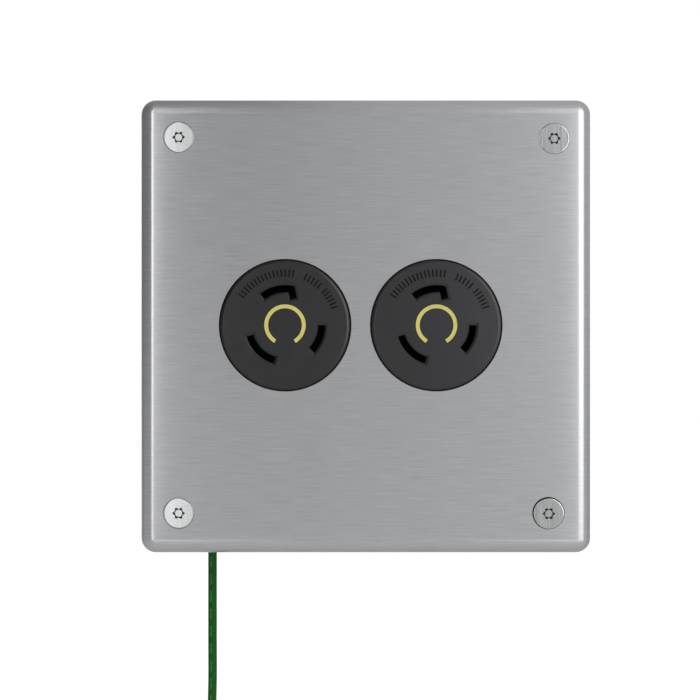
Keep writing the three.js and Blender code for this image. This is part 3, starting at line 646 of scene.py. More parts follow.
def folded(surface, size, corner, rows):
    """Rings of a rounded rectangle. A row is (inset, y, run): the ring lies `inset` inside the full size at the
    depth y, and `run` is its distance from the first fold along the sheet, for the unfolded coordinates."""
    full = rounded_rectangle(*size, corner)
    outward = (rounded_rectangle(*(np.array(size) + 2), corner + 1) - full)
    rings, sheet = [], []
    for inset, y, run in rows:
        loop = full - inset * outward
        rings.append(np.stack([loop[:, 0], np.full(len(loop), y), loop[:, 1]], axis=1))
        sheet.append(full + run * outward)
    surface.band(np.array(rings), np.array(sheet))


def shrunk(size, corner, inset):
    """The ring of `folded` at one inset, as a loop in the X-Z plane."""
    return rounded_rectangle(size[0] - 2 * inset, size[1] - 2 * inset, corner - inset)


def centres(*nodes):
    return [middle(node) for node in nodes]


def screw_places():
    return centres(*(f"cover_screw_{corner}" for corner in CORNERS))


def receptacle_places():
    return centres(*(f"receptacle_{side}_face" for side in SIDES))


def upper_and_lower(part):
    """Nodes of a part that each receptacle has one of above and one of below."""
    return [f"receptacle_{side}_{end}_{part}" for side in SIDES for end in ("upper", "lower")]


CROWN_REACH = 3 * MM
COUNTERSINK_GAP = 0.12 * MM
WORN_GAP = 0.15 * MM
WORN_SHIFT = np.array([-0.12, 0.16]) * MM


def crown_points(size, start, holes):
    """Points on rectangles that lie further and further inside the cover's fold, clear of its holes."""
    rows = []
    for inset in start + CROWN_REACH * np.array([0.2, 0.5, 0.9, 1.4, 2.0, 2.8, 3.8, 5.2]):
        reach = size / 2 - inset
        along = np.linspace(-1, 1, 40)
        for side in (-1, 1):
            rows.append(np.stack([reach[0] * along, np.full(40, side * reach[1])], axis=1))
            rows.append(np.stack([np.full(38, side * reach[0]), reach[1] * along[1:-1]], axis=1))
    points = np.concatenate(rows)
    for hole in holes:
        centre = hole.mean(axis=0)
        radius = np.linalg.norm(hole[0] - centre) + 0.4 * MM
        points = points[np.linalg.norm(points - centre, axis=1) > radius]
    return points


def crown(surface, size, settings):
    """Lets the front fall back towards the folds on its left and right, as a pressed tray does."""
    for points in surface.points:
        away = np.maximum(size[0] / 2 - settings.bend - np.abs(points[:, 0]), 0.0)
        near = np.exp(-away / CROWN_REACH)
        depth = np.clip(1 - (points[:, 1] - FRONT) / settings.bend, 0.0, 1.0)
        points[:, 1] += settings.crown * near * depth


def cover_openings(surface, settings, inner, edge):
    """Walls of the receptacle holes and of the countersinks, with the loops where they meet the front of the sheet
    and its back. The countersinks have finishes of their own: steels darkened with painted shade, the bottom right
    one near black."""
    mouths, backs = [], []
    for place in receptacle_places():
        hole = round_hole(settings.hole, place, 128)
        surface.wall(hole, [(edge, FRONT), (0, FRONT + edge), (0, inner - edge), (edge, inner)])
        mouths.append(hole(edge))
        backs.append(hole(edge))
    for name, place in zip(CORNERS, screw_places()):
        head = bpy.context.scene.power_screws.head + COUNTERSINK_GAP
        # painted shade: the countersink walls take the darker steel of the second finish
        surface.finish = 1
        # painted shade: the wider gap of the bottom right countersink takes the near-black third finish
        if name == "bottom_right":
            surface.finish = 2
            head, place = head + WORN_GAP, place + WORN_SHIFT
        cone = round_hole(head, place, 64)
        surface.wall(cone, [(0, FRONT), (-settings.sheet, inner)])
        mouths.append(cone(0))
        backs.append(cone(-settings.sheet))
    surface.finish = 0
    return mouths, backs


def cover_surface(settings):
    """The tray: outer skin, rim and inner skin as one chain of rings, with flat plates that close front and back."""
    size = (COVER_HIGH - COVER_LOW)[[0, 2]]
    sheet, bend, corner = settings.sheet, settings.bend, settings.corner
    flat, edge = 0.15 * MM, 0.15 * MM
    inner = FRONT + sheet
    outside = quarter_bend(bend, 14) * (1, 1, 1) + (0, FRONT, 0)
    inside_bend = quarter_bend(bend - sheet, 10)[::-1] + (sheet, inner, 0)
    depth = SKIRT_END - FRONT
    rows = [
        (bend + flat, FRONT, -flat),
        *outside,
        (0, SKIRT_END - edge, depth),
        (edge, SKIRT_END, depth),
        (sheet - edge, SKIRT_END, depth + sheet),
        (sheet, SKIRT_END - edge, depth + sheet),
        *inside_bend,
        (bend + flat, inner, -flat),
    ]
    surface = Surface()
    folded(surface, size, corner, rows)
    mouths, backs = cover_openings(surface, settings, inner, edge)
    loop = shrunk(size, corner, bend + flat)
    surface.plate(FRONT, loop, mouths, [crown_points(size, bend + flat, mouths)])
    surface.plate(inner, loop, backs)
    crown(surface, size, settings)
    for nut in upper_and_lower("strap_nut"):
        threaded_rod(surface, middle(nut), 2 * MM, inner - 0.4 * MM, limits(nut)[1][1] + 2.4 * MM)
    return surface


def threaded_rod(surface, place, radius, start, end, pitch=0.7 * MM):
    """Closed rod along Y from `start` to `end`, whose outline rises and falls once for each pitch of its thread."""
    count = int(abs(end - start) / pitch)
    depths = np.linspace(start, end, 2 * count + 1)
    radii = ridges(len(depths), radius, radius - 0.35 * pitch)
    radii[0] = radius - 0.3 * pitch
    radii[-1] = radius - 0.5 * pitch
    profile = [(0, start), *zip(radii, depths), (0, end)]
    surface.turned(profile, place, 24)


# ---------------------------------------------------------------- receptacle outlines
LINE_SLOT = (-43.5, 0.0)
NEUTRAL_SLOT = (196.5, 253.4)
KEYED_SLOT = (74.7, 128.5)
KEY_FOOT = np.array([2.6, 7.96]) * MM
KEY_WIDTH = 2.2 * MM
KEY_TILT = math.radians(12.6)
RING_BAND = (5.1 * MM, 6.32 * MM, -58.8, 238.8)
RING_GROOVE = 0.12 * MM
MARK_BAND = (14.75 * MM, 16.95 * MM)
MARK_HALF = 0.2 * MM
MARK_DEPTH = 0.14 * MM
MARK_EDGE = 0.03 * MM
GROOVE_DEPTH = 0.6 * MM
GROOVE_EDGE = 0.05 * MM
MARK_RUNS = ((146.0, 81.0, 16), (67.0, 49.0, 5), (41.0, 20.0, 6))


def blade_slot(span):
    """Curved slot between the two slot radii, as a function of how far it is grown all round."""
    settings = bpy.context.scene.power_receptacles

    def outline(grow):
        turn = math.degrees(grow / settings.slot_inner)
        inner, outer = settings.slot_inner - grow, settings.slot_outer + grow
        return sector(inner, outer, span[0] - turn, span[1] + turn)

    return outline


def keyed_slot(grow):
    """Curved slot with a straight leg that points inwards at its right end: the arcs stop where the leg's two
    parallel sides, tilted by KEY_TILT, cross them."""
    settings = bpy.context.scene.power_receptacles
    turn = math.degrees(grow / settings.slot_inner)
    up = np.array([-math.sin(KEY_TILT), math.cos(KEY_TILT)])
    across = np.array([up[1], -up[0]])

    def foot(side):
        return KEY_FOOT - grow * up + side * (KEY_WIDTH / 2 + grow) * across

    def crossing(base, radius):
        along = base.dot(up)
        reach = math.sqrt(along**2 - base.dot(base) + radius**2) - along
        return math.degrees(math.atan2(*(base + reach * up)[::-1]))

    outer, inner = settings.slot_outer + grow, settings.slot_inner - grow
    outer_arc = arc(outer, crossing(foot(1), outer), KEYED_SLOT[1] + turn, 24)
    inner_arc = arc(inner, KEYED_SLOT[1] + turn, crossing(foot(-1), inner), 24)
    return np.concatenate([foot(1)[None], outer_arc, inner_arc, foot(-1)[None]])


def mark(angle):
    """Short radial index mark: a narrow rectangle across the mark band at one angle."""
    inner, outer = MARK_BAND
    return turned_box((inner, -MARK_HALF), (outer, MARK_HALF), math.radians(angle))


def mark_outlines():
    return [mark(angle) for start, end, count in MARK_RUNS for angle in np.linspace(start, end, count)]


def ring_groove(grow):
    inner, outer, start, end = RING_BAND
    grow = grow + RING_GROOVE
    turn = math.degrees(grow / outer)
    return sector(inner - grow, outer + grow, start - turn, end + turn, 72)


def face_surface(place, settings):
    """Moulded face: a plate with the mouths of its slots, groove and marks, a rounded edge, and a flange behind."""
    count = 128
    radius, edge, chamfer = settings.radius, settings.edge, settings.chamfer
    flange_front = FACE_BACK - 3 * MM
    bevel = edge * np.array([(1.06, 0), (0.98, 0.02), (0.28, 0.28), (0.22, 0.32), (0.06, 0.52), (0, 0.8)])
    surface = Surface()
    rim = radius - 1.25 * edge
    surface.turned(
        [
            (rim, FACE_FRONT),
            *((radius - inset, FACE_FRONT + depth) for inset, depth in bevel),
            (radius, flange_front),
            (FACE_FLANGE, flange_front),
            (FACE_FLANGE, FACE_BACK),
        ],
        place,
        count,
    )
    slots = [blade_slot(LINE_SLOT), blade_slot(NEUTRAL_SLOT), keyed_slot]
    for outline in slots:
        surface.wall(outline, [(chamfer, FACE_FRONT), (0, FACE_FRONT + 0.75 * chamfer), (0, FACE_BACK)], place)
    groove_floor = FACE_FRONT + GROOVE_DEPTH
    surface.wall(ring_groove, [(GROOVE_EDGE, FACE_FRONT), (0, FACE_FRONT + GROOVE_EDGE), (0, groove_floor)], place)
    surface.plate(groove_floor, ring_groove(0) + place)
    marks = mark_outlines()
    mark_floor = FACE_FRONT + MARK_DEPTH
    surface.finish = 1
    for outline in marks:
        surface.wall(outline, [(MARK_EDGE, FACE_FRONT), (0, mark_floor)], place)
        surface.plate(mark_floor, outline(0) + place)
    surface.finish = 0
    mouths = [outline(chamfer) + place for outline in slots]
    mouths.append(ring_groove(GROOVE_EDGE) + place)
    mouths.extend(outline(MARK_EDGE) + place for outline in marks)
    surface.plate(FACE_FRONT, circle(rim, count, place), mouths, [loose_points(place, rim, mouths)])
    surface.plate(FACE_BACK, circle(FACE_FLANGE, count, place), [outline(0) + place for outline in slots])
    dome(surface, place, settings, flange_front - 0.1 * MM)
    return surface


def loose_points(place, rim, mouths):
    """Points on circles inside the rim of a face, clear of the mouths, so that its plate can follow the dome."""
    points = np.concatenate([circle(reach, 60) for reach in np.arange(1, 12) * rim / 12]) + place
    for mouth in mouths:
        centre = mouth.mean(axis=0)
        points = points[~inside(points, centre + 1.06 * (mouth - centre))]
    return points


def dome(surface, place, settings, behind):
    """Lets all that lies before a depth fall back with the square of its distance from the middle."""
    for points in surface.points:
        top = points[:, 1] < behind
        reach = np.linalg.norm(points[:, [0, 2]] - place, axis=1) / settings.radius
        points[top, 1] += settings.dome * np.minimum(reach[top], 1.0) ** 2


def inlay_surface(place):
    """A flat-topped profile with a shallow line along its middle, carried round the open ring."""
    inner, outer, start, end = RING_BAND
    back, soft = FACE_FRONT + 0.45 * MM, 0.08 * MM
    centre = (inner + outer) / 2
    profile = np.array([
        (inner, back),
        (inner, FACE_FRONT + soft),
        (inner + soft, FACE_FRONT),
        (centre - 0.14 * MM, FACE_FRONT),
        (centre, FACE_FRONT + 0.05 * MM),
        (centre + 0.14 * MM, FACE_FRONT),
        (outer - soft, FACE_FRONT),
        (outer, FACE_FRONT + soft),
        (outer, back),
    ])
    turn = np.radians(np.linspace(start, end, 97))
    x = place[0] + np.cos(turn)[:, None] * profile[:, 0]
    z = place[1] + np.sin(turn)[:, None] * profile[:, 0]
    rings = np.stack([x, np.broadcast_to(profile[:, 1], x.shape), z], axis=-1)
    surface = Surface()
    surface.band(rings)
    for ring in (rings[0], rings[-1]):
        surface.add(ring, [list(range(len(ring)))])
    return surface


# ---------------------------------------------------------------- cover screws
RECESS_DEPTH = 1.8 * MM
RECESS_EDGE = 0.08 * MM
PIN_RADIUS = 1.16 * MM


def six_lobe(grow):
    """Star of a six-lobe recess: a circle whose radius rises and falls six times a turn."""
    turn = 2 * np.pi * np.arange(72) / 72
    radius = 1.55 * MM + grow + 0.27 * MM * np.cos(6 * turn)
    return radius[:, None] * np.stack([np.cos(turn), np.sin(turn)], axis=1)


def cover_screw_surface(place, settings):
    """Countersunk screw: a flat head with a pinned recess, a cone, and a thread as rings of two radii. On the left
    the head leans outwards: its points fall back in proportion to their distance from its right edge."""
    low, high = limits("cover_screw_top_left")
    front, tip = low[1], high[1]
    head, thread = settings.head, settings.thread
    soft, pitch = 0.15 * MM, 0.8 * MM
    neck = front + soft + head - thread
    depths = np.arange(neck + 0.4 * MM, tip - 0.8 * MM, pitch / 2)
    radii = ridges(len(depths), thread, thread - 0.4 * MM)
    surface = Surface()
    surface.turned(
        [
            (head - 2 * soft, front),
            (head - soft, front),
            (head - 0.3 * soft, front + 0.3 * soft),
            (head, front + soft),
            (thread, neck),
            *zip(radii, depths),
            (thread - 0.5 * MM, tip - 0.3 * MM),
            (thread - 0.9 * MM, tip),
            (0, tip),
        ],
        place,
        64,
    )
    pinned_recess(surface, place, front)
    surface.plate(front, circle(head - 2 * soft, 64, place), [six_lobe(RECESS_EDGE) + place])
    if place[0] < 0:
        for points in surface.points:
            top = points[:, 1] < front + 0.3 * MM
            points[top, 1] += math.tan(settings.lean) * (place[0] + head - points[top, 0])
    return surface


def pinned_recess(surface, place, front):
    """Six-lobe recess, a little narrower at its floor, with a round pin that has a bevelled end. Its walls, its floor
    and the side of its pin take the second finish, a steel darkened with painted shade.
    """
    floor, pin, taper, bevel = front + RECESS_DEPTH, PIN_RADIUS, -0.06 * MM, 0.1 * MM
    surface.finish = 1
    surface.wall(six_lobe, [(RECESS_EDGE, front), (0, front + RECESS_EDGE), (taper, floor)], place)
    surface.plate(floor, six_lobe(taper) + place, [circle(pin, 32, place)])
    surface.turned([(pin, floor), (pin, front + bevel)], place, 32)
    surface.finish = 0
    surface.turned([(pin, front + bevel), (0.9 * pin, front), (0.8 * pin, front), (0, front)], place, 32)


# ---------------------------------------------------------------- routes of the leads
HOUSING_BACK = limits("receptacle_left_housing")[1][1]
GROUND_WIRE = math.radians(sum(KEYED_SLOT) / 2 + 28)
TERMINAL_AT, WIRE_AT = 11 * MM, 16.4 * MM
LEAD_X, LEAD_Y = -50.9 * MM, -24 * MM
LEAD_END, LEAD_DRIFT = -214 * MM, -6.5 * MM


def bond_route():
    """Points of the hanging lead, straight down from its bushing and then drifting to the left."""
    start = limits("bond_lead")[1][2]
    plumb = [(LEAD_X, LEAD_Y, z) for z in (start, -84 * MM, -104 * MM, -118 * MM)]
    drift = ((0.06, -132), (0.2, -150), (0.5, -176), (0.8, -198), (1.0, -214))
    return plumb + [(LEAD_X + share * LEAD_DRIFT, LEAD_Y, z * MM) for share, z in drift]


def jumper_route(name):
    """From one housing straight out, across, and straight back into the other, with rounded corners."""
    low, high = limits(name)
    radius = bpy.context.scene.power_leads.diameter / 2
    x0, x1 = low[0] + radius, high[0] - radius
    inside_y, out = low[1], high[1] - radius
    z = (low[2] + high[2]) / 2
    bend = 5 * MM
    half = [(0, inside_y), (0, HOUSING_BACK), (0, out - bend), (0.3 * bend, out - 0.3 * bend), (bend, out)]
    return [(x0 + x, y, z) for x, y in half] + [(x1 - x, y, z) for x, y in reversed(half)]


def ground_route():
    """From the left housing back and up, over in a loop beside the mouth, and down to the ground stud's lug."""
    low = limits("ground_lead")[0]
    stud = middle("ground_stud_nut")
    x, z = receptacle_places()[0] + polar(WIRE_AT, GROUND_WIRE)
    return [
        (x, low[1], z),
        (x, HOUSING_BACK, z),
        (x - 0.5 * MM, HOUSING_BACK + 7 * MM, z + 1 * MM),
        (x - 1.5 * MM, -15.5 * MM, z + 8 * MM),
        (x - 2.5 * MM, -11.5 * MM, z + 20 * MM),
        (-40 * MM, -10 * MM, 43.5 * MM),
        (-45 * MM, -9.5 * MM, 48 * MM),
        (-49.6 * MM, -9.2 * MM, 43.5 * MM),
        (stud[0], -9 * MM, 33 * MM),
        (stud[0], -8.5 * MM, 14 * MM),
        (stud[0], -5.5 * MM, low[2] + 7 * MM),
        (stud[0], -5.1 * MM, low[2]),
    ]


def inner_bond_route():
    """From the mouth of its lug on the ground stud forward, down, and out through the bushing."""
    low, high = limits("bond_lead_inner")
    return [
        (LEAD_X, high[1] - 1.45 * MM, high[2]),
        (LEAD_X, high[1] - 1.95 * MM, high[2] - 4 * MM),
        (LEAD_X, -10 * MM, -49 * MM),
        (LEAD_X, LEAD_Y + 4 * MM, -56 * MM),
        (LEAD_X, LEAD_Y, -62 * MM),
        (LEAD_X, LEAD_Y, low[2]),
    ]


# ---------------------------------------------------------------- stage
PICTURE_WIDTH = 700


def area_light(name, place, target, size, power):
    """Rectangular light that faces its target."""
    light = bpy.data.lights.new(name, "AREA")
    light.shape = "RECTANGLE"
    light.size, light.size_y = size
    light.energy = power
    lamp = bpy.data.objects.new(name, light)
    lamp.location = place
    lamp.rotation_euler = (Vector(target) - Vector(place)).to_track_quat("-Z", "Y").to_euler()
    lamp.visible_camera = False
    bpy.context.scene.collection.objects.link(lamp)


def studio_world(settings):
    """Grey room, a little paler on the right and dark far to the left, with a white backdrop behind the box."""
    world = bpy.data.worlds.new("studio")
    world.use_nodes = True
    bpy.context.scene.world = world
    tree = world.node_tree
    backdrop = tree.nodes["Background"]
    backdrop.inputs["Color"].default_value = (0.985, 0.99, 1.0, 1.0)
    direction = tree.nodes.new("ShaderNodeTexCoord")
    axes = tree.nodes.new("ShaderNodeSeparateXYZ")
    tree.links.new(direction.outputs["Generated"], axes.inputs["Vector"])
    right = axes.outputs["X"]
    left_side, right_side = 0.73 * settings.room, 1.27 * settings.room
    near = ranged(tree, right, -0.1, 0.01, left_side, right_side)
    dark = ranged(tree, right, -0.75, -0.4, left_side - settings.dark, 0.0)
    room = combined(tree, "SUBTRACT", near, dark)
    white = ranged(tree, axes.outputs["Y"], 0.84, 0.936, 0.0, 1.02)
    tree.links.new(combined(tree, "MAXIMUM", room, white), backdrop.inputs["Strength"])


def floor_paper(settings):
    """Pale floor that glows before the box and, brighter, in the wedge that the lens sees behind it, so that it
    meets the backdrop without a line."""
    paper = Finish("floor paper", (0.35, 0.35, 0.35), 0.9)
    tree = paper.tree
    fibres = paper.noise((90.0,) * 3, detail=5.0)
    paper.shaded(fibres, 0.985, 1.015)
    axes = paper.node("SeparateXYZ")
    paper.link(paper.place((1.0, 1.0, 1.0)), axes.inputs["Vector"])
    depth = combined(tree, "ADD", axes.outputs["Y"], settings.distance - FACE_FRONT)
    slant = combined(tree, "DIVIDE", combined(tree, "ABSOLUTE", axes.outputs["X"]), depth)
    wedge = ranged(tree, slant, 0.28, 0.62, settings.glow, 0.0)
    behind = combined(tree, "MULTIPLY", wedge, ranged(tree, axes.outputs["Y"], -0.1, 0.42, 0.0, 1.0))
    before = ranged(tree, axes.outputs["Y"], -0.2, 0.3, 0.36, 0.2)
    paper.set(Emission_Color=(1.0, 1.0, 1.0, 1.0))
    paper.link(combined(tree, "MAXIMUM", behind, before), paper.shader.inputs["Emission Strength"])
    return paper.material


class POWERBOX_OT_stage(bpy.types.Operator):
    """Pale floor, soft lights and the camera in front of the box"""

    bl_idname = "powerbox.stage"
    bl_label = "Stage"

    def execute(self, context):
        settings = context.scene.power_stage
        context.scene.view_settings.view_transform = "Standard"
        studio_world(settings)
        disc = Surface()
        radii = np.linspace(0.0, 4.0, 41)[:, None]
        disc.turned(np.concatenate([radii, np.zeros_like(radii)], axis=1), count=96)
        disc.moved(UPRIGHT, (0.0, 0.0, -settings.floor))
        disc.build("floor", floor_paper(settings))
        target = (0.0, FRONT, 0.0)
        area_light("key", (0.80, -1.10, 0.12), target, (0.92, 1.5), settings.key)
        area_light("fill", (-0.46, -1.195, 0.1), target, (0.2, 1.5), settings.fill)
        data = bpy.data.cameras.new("camera")
        data.sensor_width = 36.0
        data.lens = settings.distance / settings.scale * data.sensor_width / PICTURE_WIDTH
        data.clip_start = 0.01
        camera = bpy.data.objects.new("camera", data)
        camera.location = (settings.sight[0], FACE_FRONT - settings.distance, settings.sight[1])
        camera.rotation_euler = (math.pi / 2, 0.0, 0.0)
        context.scene.collection.objects.link(camera)
        context.scene.camera = camera
        return {"FINISHED"}


# ---------------------------------------------------------------- leads and ring terminals
def printed_vinyl():
    """Green insulation with a line of pairs of dashes along its front: a short dash, a long one and a space."""
    leads = bpy.context.scene.power_leads
    finish = drawn_vinyl("printed green vinyl", leads.green)
    axes = finish.node("SeparateXYZ")
    finish.link(finish.node("UVMap", uv_map="sheet").outputs["UV"], axes.inputs["Vector"])

    tree = finish.tree
    on_line = combined(tree, "COMPARE", axes.outputs["X"], 0.2878, 0.013)
    along = combined(tree, "MODULO", axes.outputs["Y"], 5.8 * MM)
    short = combined(tree, "COMPARE", along, 0.64 * MM, 0.64 * MM)
    long = combined(tree, "COMPARE", along, 2.54 * MM, 1.02 * MM)
    dashes = combined(tree, "MULTIPLY", combined(tree, "MAXIMUM", short, long), on_line)
    wear = finish.spread(finish.noise((2400.0,) * 3, detail=2.0), 0.65, 1.0)
    mix = finish.node("Mix", data_type="RGBA")
    under = finish.shader.inputs["Base Color"].links[0].from_socket
    finish.link(combined(tree, "MULTIPLY", dashes, wear), mix.inputs[0])
    finish.link(under, mix.inputs[6])
    mix.inputs[7].default_value = (*leads.legend, 1.0)
    finish.link(mix.outputs[2], finish.shader.inputs["Base Color"])
    return finish.material


def keyhole(radius, half, reach, corner):
    """Disc with a straight tongue of a given half width up to `reach`, as a function of how far it is grown."""

    def outline(grow):
        r, h, end = radius + grow, half + grow, reach + grow
        meets = math.degrees(math.acos(h / r))
        soft = max(corner + grow, 0.05 * MM)
        left = arc(soft, 180, 90, 6) + np.array([-h + soft, end - soft])
        right = arc(soft, 90, 0, 6) + np.array([h - soft, end - soft])
        return np.concatenate([right[::-1], left[::-1], arc(r, 180 - meets, 360 + meets, 48)])

    return outline


def lug_surface():
    """Ring terminal round the origin, its plate behind y = 0 and its crimped barrel upwards: the barrel is a tube
    whose radius dips twice along its length."""
    surface = Surface()
    heights = np.linspace(7.5, 14.5, 29) * MM
    dips = sum(0.3 * np.exp(-(((heights / MM - crimp) / 0.55) ** 2)) for crimp in (10.4, 12.6))
    outside = [(r * MM, z) for r, z in zip(2.2 - dips, heights)]
    inside_tube = [(r * MM, z) for r, z in zip(1.62 - 0.5 * dips[::-1], heights[::-1])]
    surface.turned([*outside, *inside_tube, outside[0]], count=32)
    surface.moved(UPRIGHT, (0.0, -2.2 * MM, 0.0))
    surface.slab(-0.8 * MM, 0.0, keyhole(4.98 * MM, 2.1 * MM, 9.4 * MM, 0.6 * MM), [round_hole(2.8 * MM)])
    return surface


def turned_about_y(angle):
    """Matrix that turns the X-Z plane anticlockwise, as seen from the front, by an angle in radians."""
    c, s = math.cos(angle), math.sin(angle)
    return ((c, 0, -s), (0, 1, 0), (s, 0, c))


LUG_MOUTH = 14.8 * MM
LEAD_SWING = 0.08


class POWERBOX_OT_bonding_lead(bpy.types.Operator):
    """The printed green lead that hangs below the box, and the ring terminal on its free end"""

    bl_idname = "powerbox.bonding_lead"
    bl_label = "Bonding lead"

    def execute(self, context):
        diameter = context.scene.power_leads.diameter
        path = smooth_path(bond_route())
        lead = settle(tube("bond_lead_skin", path, diameter / 2, printed_vinyl(), 32), "bond_lead")
        lug = lug_surface().moved(np.eye(3), (0.0, 2.2 * MM, -LUG_MOUTH))
        lug.moved(turned_about_y(-LEAD_SWING), (LEAD_X + LEAD_DRIFT, LEAD_Y, LEAD_END))
        terminal = finish_node(lug, "bond_lead_outer_lug")
        tuple(path[0])
        return {"FINISHED"}


class POWERBOX_OT_inner_leads(bpy.types.Operator):
    """The jumpers between the receptacles, the ground lead, and the bonding lead's run inside the box"""

    bl_idname = "powerbox.inner_leads"
    bl_label = "Inner leads"

    def execute(self, context):
        radius = context.scene.power_leads.diameter / 2
        for name in ("line_jumper", "neutral_jumper", "ground_jumper"):
            settle(tube(f"{name}_skin", smooth_path(jumper_route(name)), radius, material(SLOT_OF[name])), name)
        bond = smooth_path(inner_bond_route())
        settle(tube("bond_lead_inner_skin", bond, radius, material("green_vinyl")), "bond_lead_inner")
        ground = tube("ground_lead_skin", smooth_path(ground_route()), radius, material("green_vinyl"))
        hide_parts("ground_lead")
        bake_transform(ground)
        return {"FINISHED"}


class POWERBOX_OT_lugs(bpy.types.Operator):
    """The two ring terminals on the ground stud"""

    bl_idname = "powerbox.lugs"
    bl_label = "Ring terminals"

    def execute(self, context):
        x, z = middle("ground_stud_washer")
        for node, turn in (("bond_lead_inner_lug", math.pi), ("ground_lead_lug", 0.0)):
            back = limits(node)[1][1]
            finish_node(lug_surface().moved(turned_about_y(turn), (x, back, z)), node)
        return {"FINISHED"}


# ---------------------------------------------------------------- cover and box
class POWERBOX_OT_cover(bpy.types.Operator):
    """The brushed cover tray with its openings, countersinks and welded studs"""

    bl_idname = "powerbox.cover"
    bl_label = "Cover"

    def execute(self, context):
        # the second and third finishes are steels darkened with painted shade, for the countersinks
        finishes = [material(key) for key in ("brushed_stainless", "painted_shade_steel", "deep_painted_shade_steel")]
        finish_node(cover_surface(context.scene.power_cover), "front_cover", *finishes, sharp=30.0)
        return {"FINISHED"}


class POWERBOX_OT_gasket(bpy.types.Operator):
    """The foam gasket between the cover and the box"""

    bl_idname = "powerbox.gasket"
    bl_label = "Gasket"

    def execute(self, context):
        settings = context.scene.power_box
        low, high = limits("cover_gasket")
        width, _, height = high - low
        holes = [mouth_outline, *(round_hole(4.9 * MM, place) for place in screw_places())]
        surface = Surface()
        surface.slab(low[1], high[1], rounded_hole(width, height, settings.corner), holes)
        finish_node(surface, "cover_gasket")
        return {"FINISHED"}


def mouth_outline(grow):
    """Front opening of the box, grown all round."""
    settings = bpy.context.scene.power_box
    return rounded_hole(*settings.opening, settings.mouth, steps=16)(grow)


def box_surface(settings):
    """The folded box: side walls as one chain of rings outside and inside, joined by the back and front plates."""
    low, high = limits("back_box")
    size = (high - low)[[0, 2]]
    front, sheet, bend, corner = low[1], settings.sheet, settings.bend, settings.corner
    lip, flat = 0.9 * MM, 0.1 * MM
    inset = bend + flat
    front_bend = quarter_bend(lip, 6) + (0, front, 0)
    back_bend = quarter_bend(bend, 8)[::-1] * (1, -1, 1)
    back_inner = quarter_bend(bend - sheet, 5)[::-1] * (1, -1, 1) + (sheet, -sheet, 0)
    surface = Surface()
    folded(surface, size, corner, [(inset, front, -flat), *front_bend, *back_bend, (inset, 0.0, -flat)])
    inner_rows = [(inset, front + sheet, -flat), (sheet, front + sheet, 0), *back_inner, (inset, -sheet, -flat)]
    folded(surface, size, corner, inner_rows)
    fixings = [np.array((sx, sz)) * settings.fixing for sx in (1, -1) for sz in (1, -1)]
    entry = middle("rear_entry_bushing")
    holes = [round_hole(11.4 * MM, entry, 64), *(round_hole(2.75 * MM, place) for place in fixings)]
    loop = shrunk(size, corner, inset)
    edge = 0.12 * MM
    surface.pierced(loop, holes, 0.0, -sheet, edge)
    openings = [mouth_outline, *(round_hole(3.8 * MM, place) for place in screw_places())]
    surface.pierced(loop, openings, front, front + sheet, edge)
    threaded_rod(surface, middle("ground_stud_washer"), 2.5 * MM, -13.5 * MM, -0.7 * MM, 0.8 * MM)
    return surface


class POWERBOX_OT_box(bpy.types.Operator):
    """The folded box with its front flange, wall holes, cable entry and ground stud"""

    bl_idname = "powerbox.box"
    bl_label = "Box"

    def execute(self, context):
        finish_node(box_surface(context.scene.power_box), "back_box", sharp=30.0)
        return {"FINISHED"}


def entry_bushing_surface(node):
    """Round bushing: a rounded flange behind the wall and a straight collar through it, with a rounded bore."""
    bore, hole, flange = 8.2 * MM, 11.1 * MM, 13.5 * MM
    front, seat, end = limits(node)[0][1], -1.8 * MM, -0.2 * MM
    lip = quarter_bend(1.2 * MM, 6)
    outer = [(flange - inset, front + depth) for inset, depth, _ in lip]
    inner = [(bore + inset, front + depth) for inset, depth, _ in lip[::-1]]
    surface = Surface()
    profile = [*outer, (flange, seat), (hole, seat), (hole, end), (bore, end), *inner, outer[0]]
    surface.turned(profile, middle(node), 64)
    return surface


def lead_bushing_surface(node):
    """Square bushing in the bottom wall: a flange outside, a neck through the wall and a wider clip inside, built
    lying down and then stood upright."""
    low, high = limits(node)
    wall, clip = limits("back_box")[0][2] - 0.3 * MM, limits("back_box")[0][2] + 1.8 * MM
    bore = [round_hole(1.75 * MM)]
    surface = Surface()
    surface.slab(low[2], wall, rounded_hole(12 * MM, 12 * MM, 1.2 * MM), bore, 0.5 * MM)
    surface.slab(wall, clip, rounded_hole(7.4 * MM, 7.4 * MM, 0.6 * MM), bore)
    surface.slab(clip, high[2], rounded_hole(10 * MM, 7.4 * MM, 0.8 * MM), bore, 0.4 * MM)
    return surface.moved(UPRIGHT, (LEAD_X, LEAD_Y, 0.0))


class POWERBOX_OT_bushings(bpy.types.Operator):
    """The round bushing of the rear cable entry and the square one of the bonding lead"""

    bl_idname = "powerbox.bushings"
    bl_label = "Bushings"

    def execute(self, context):
        for node, surface in (("rear_entry_bushing", entry_bushing_surface), ("lead_bushing", lead_bushing_surface)):
            finish_node(surface(node), node)
        return {"FINISHED"}


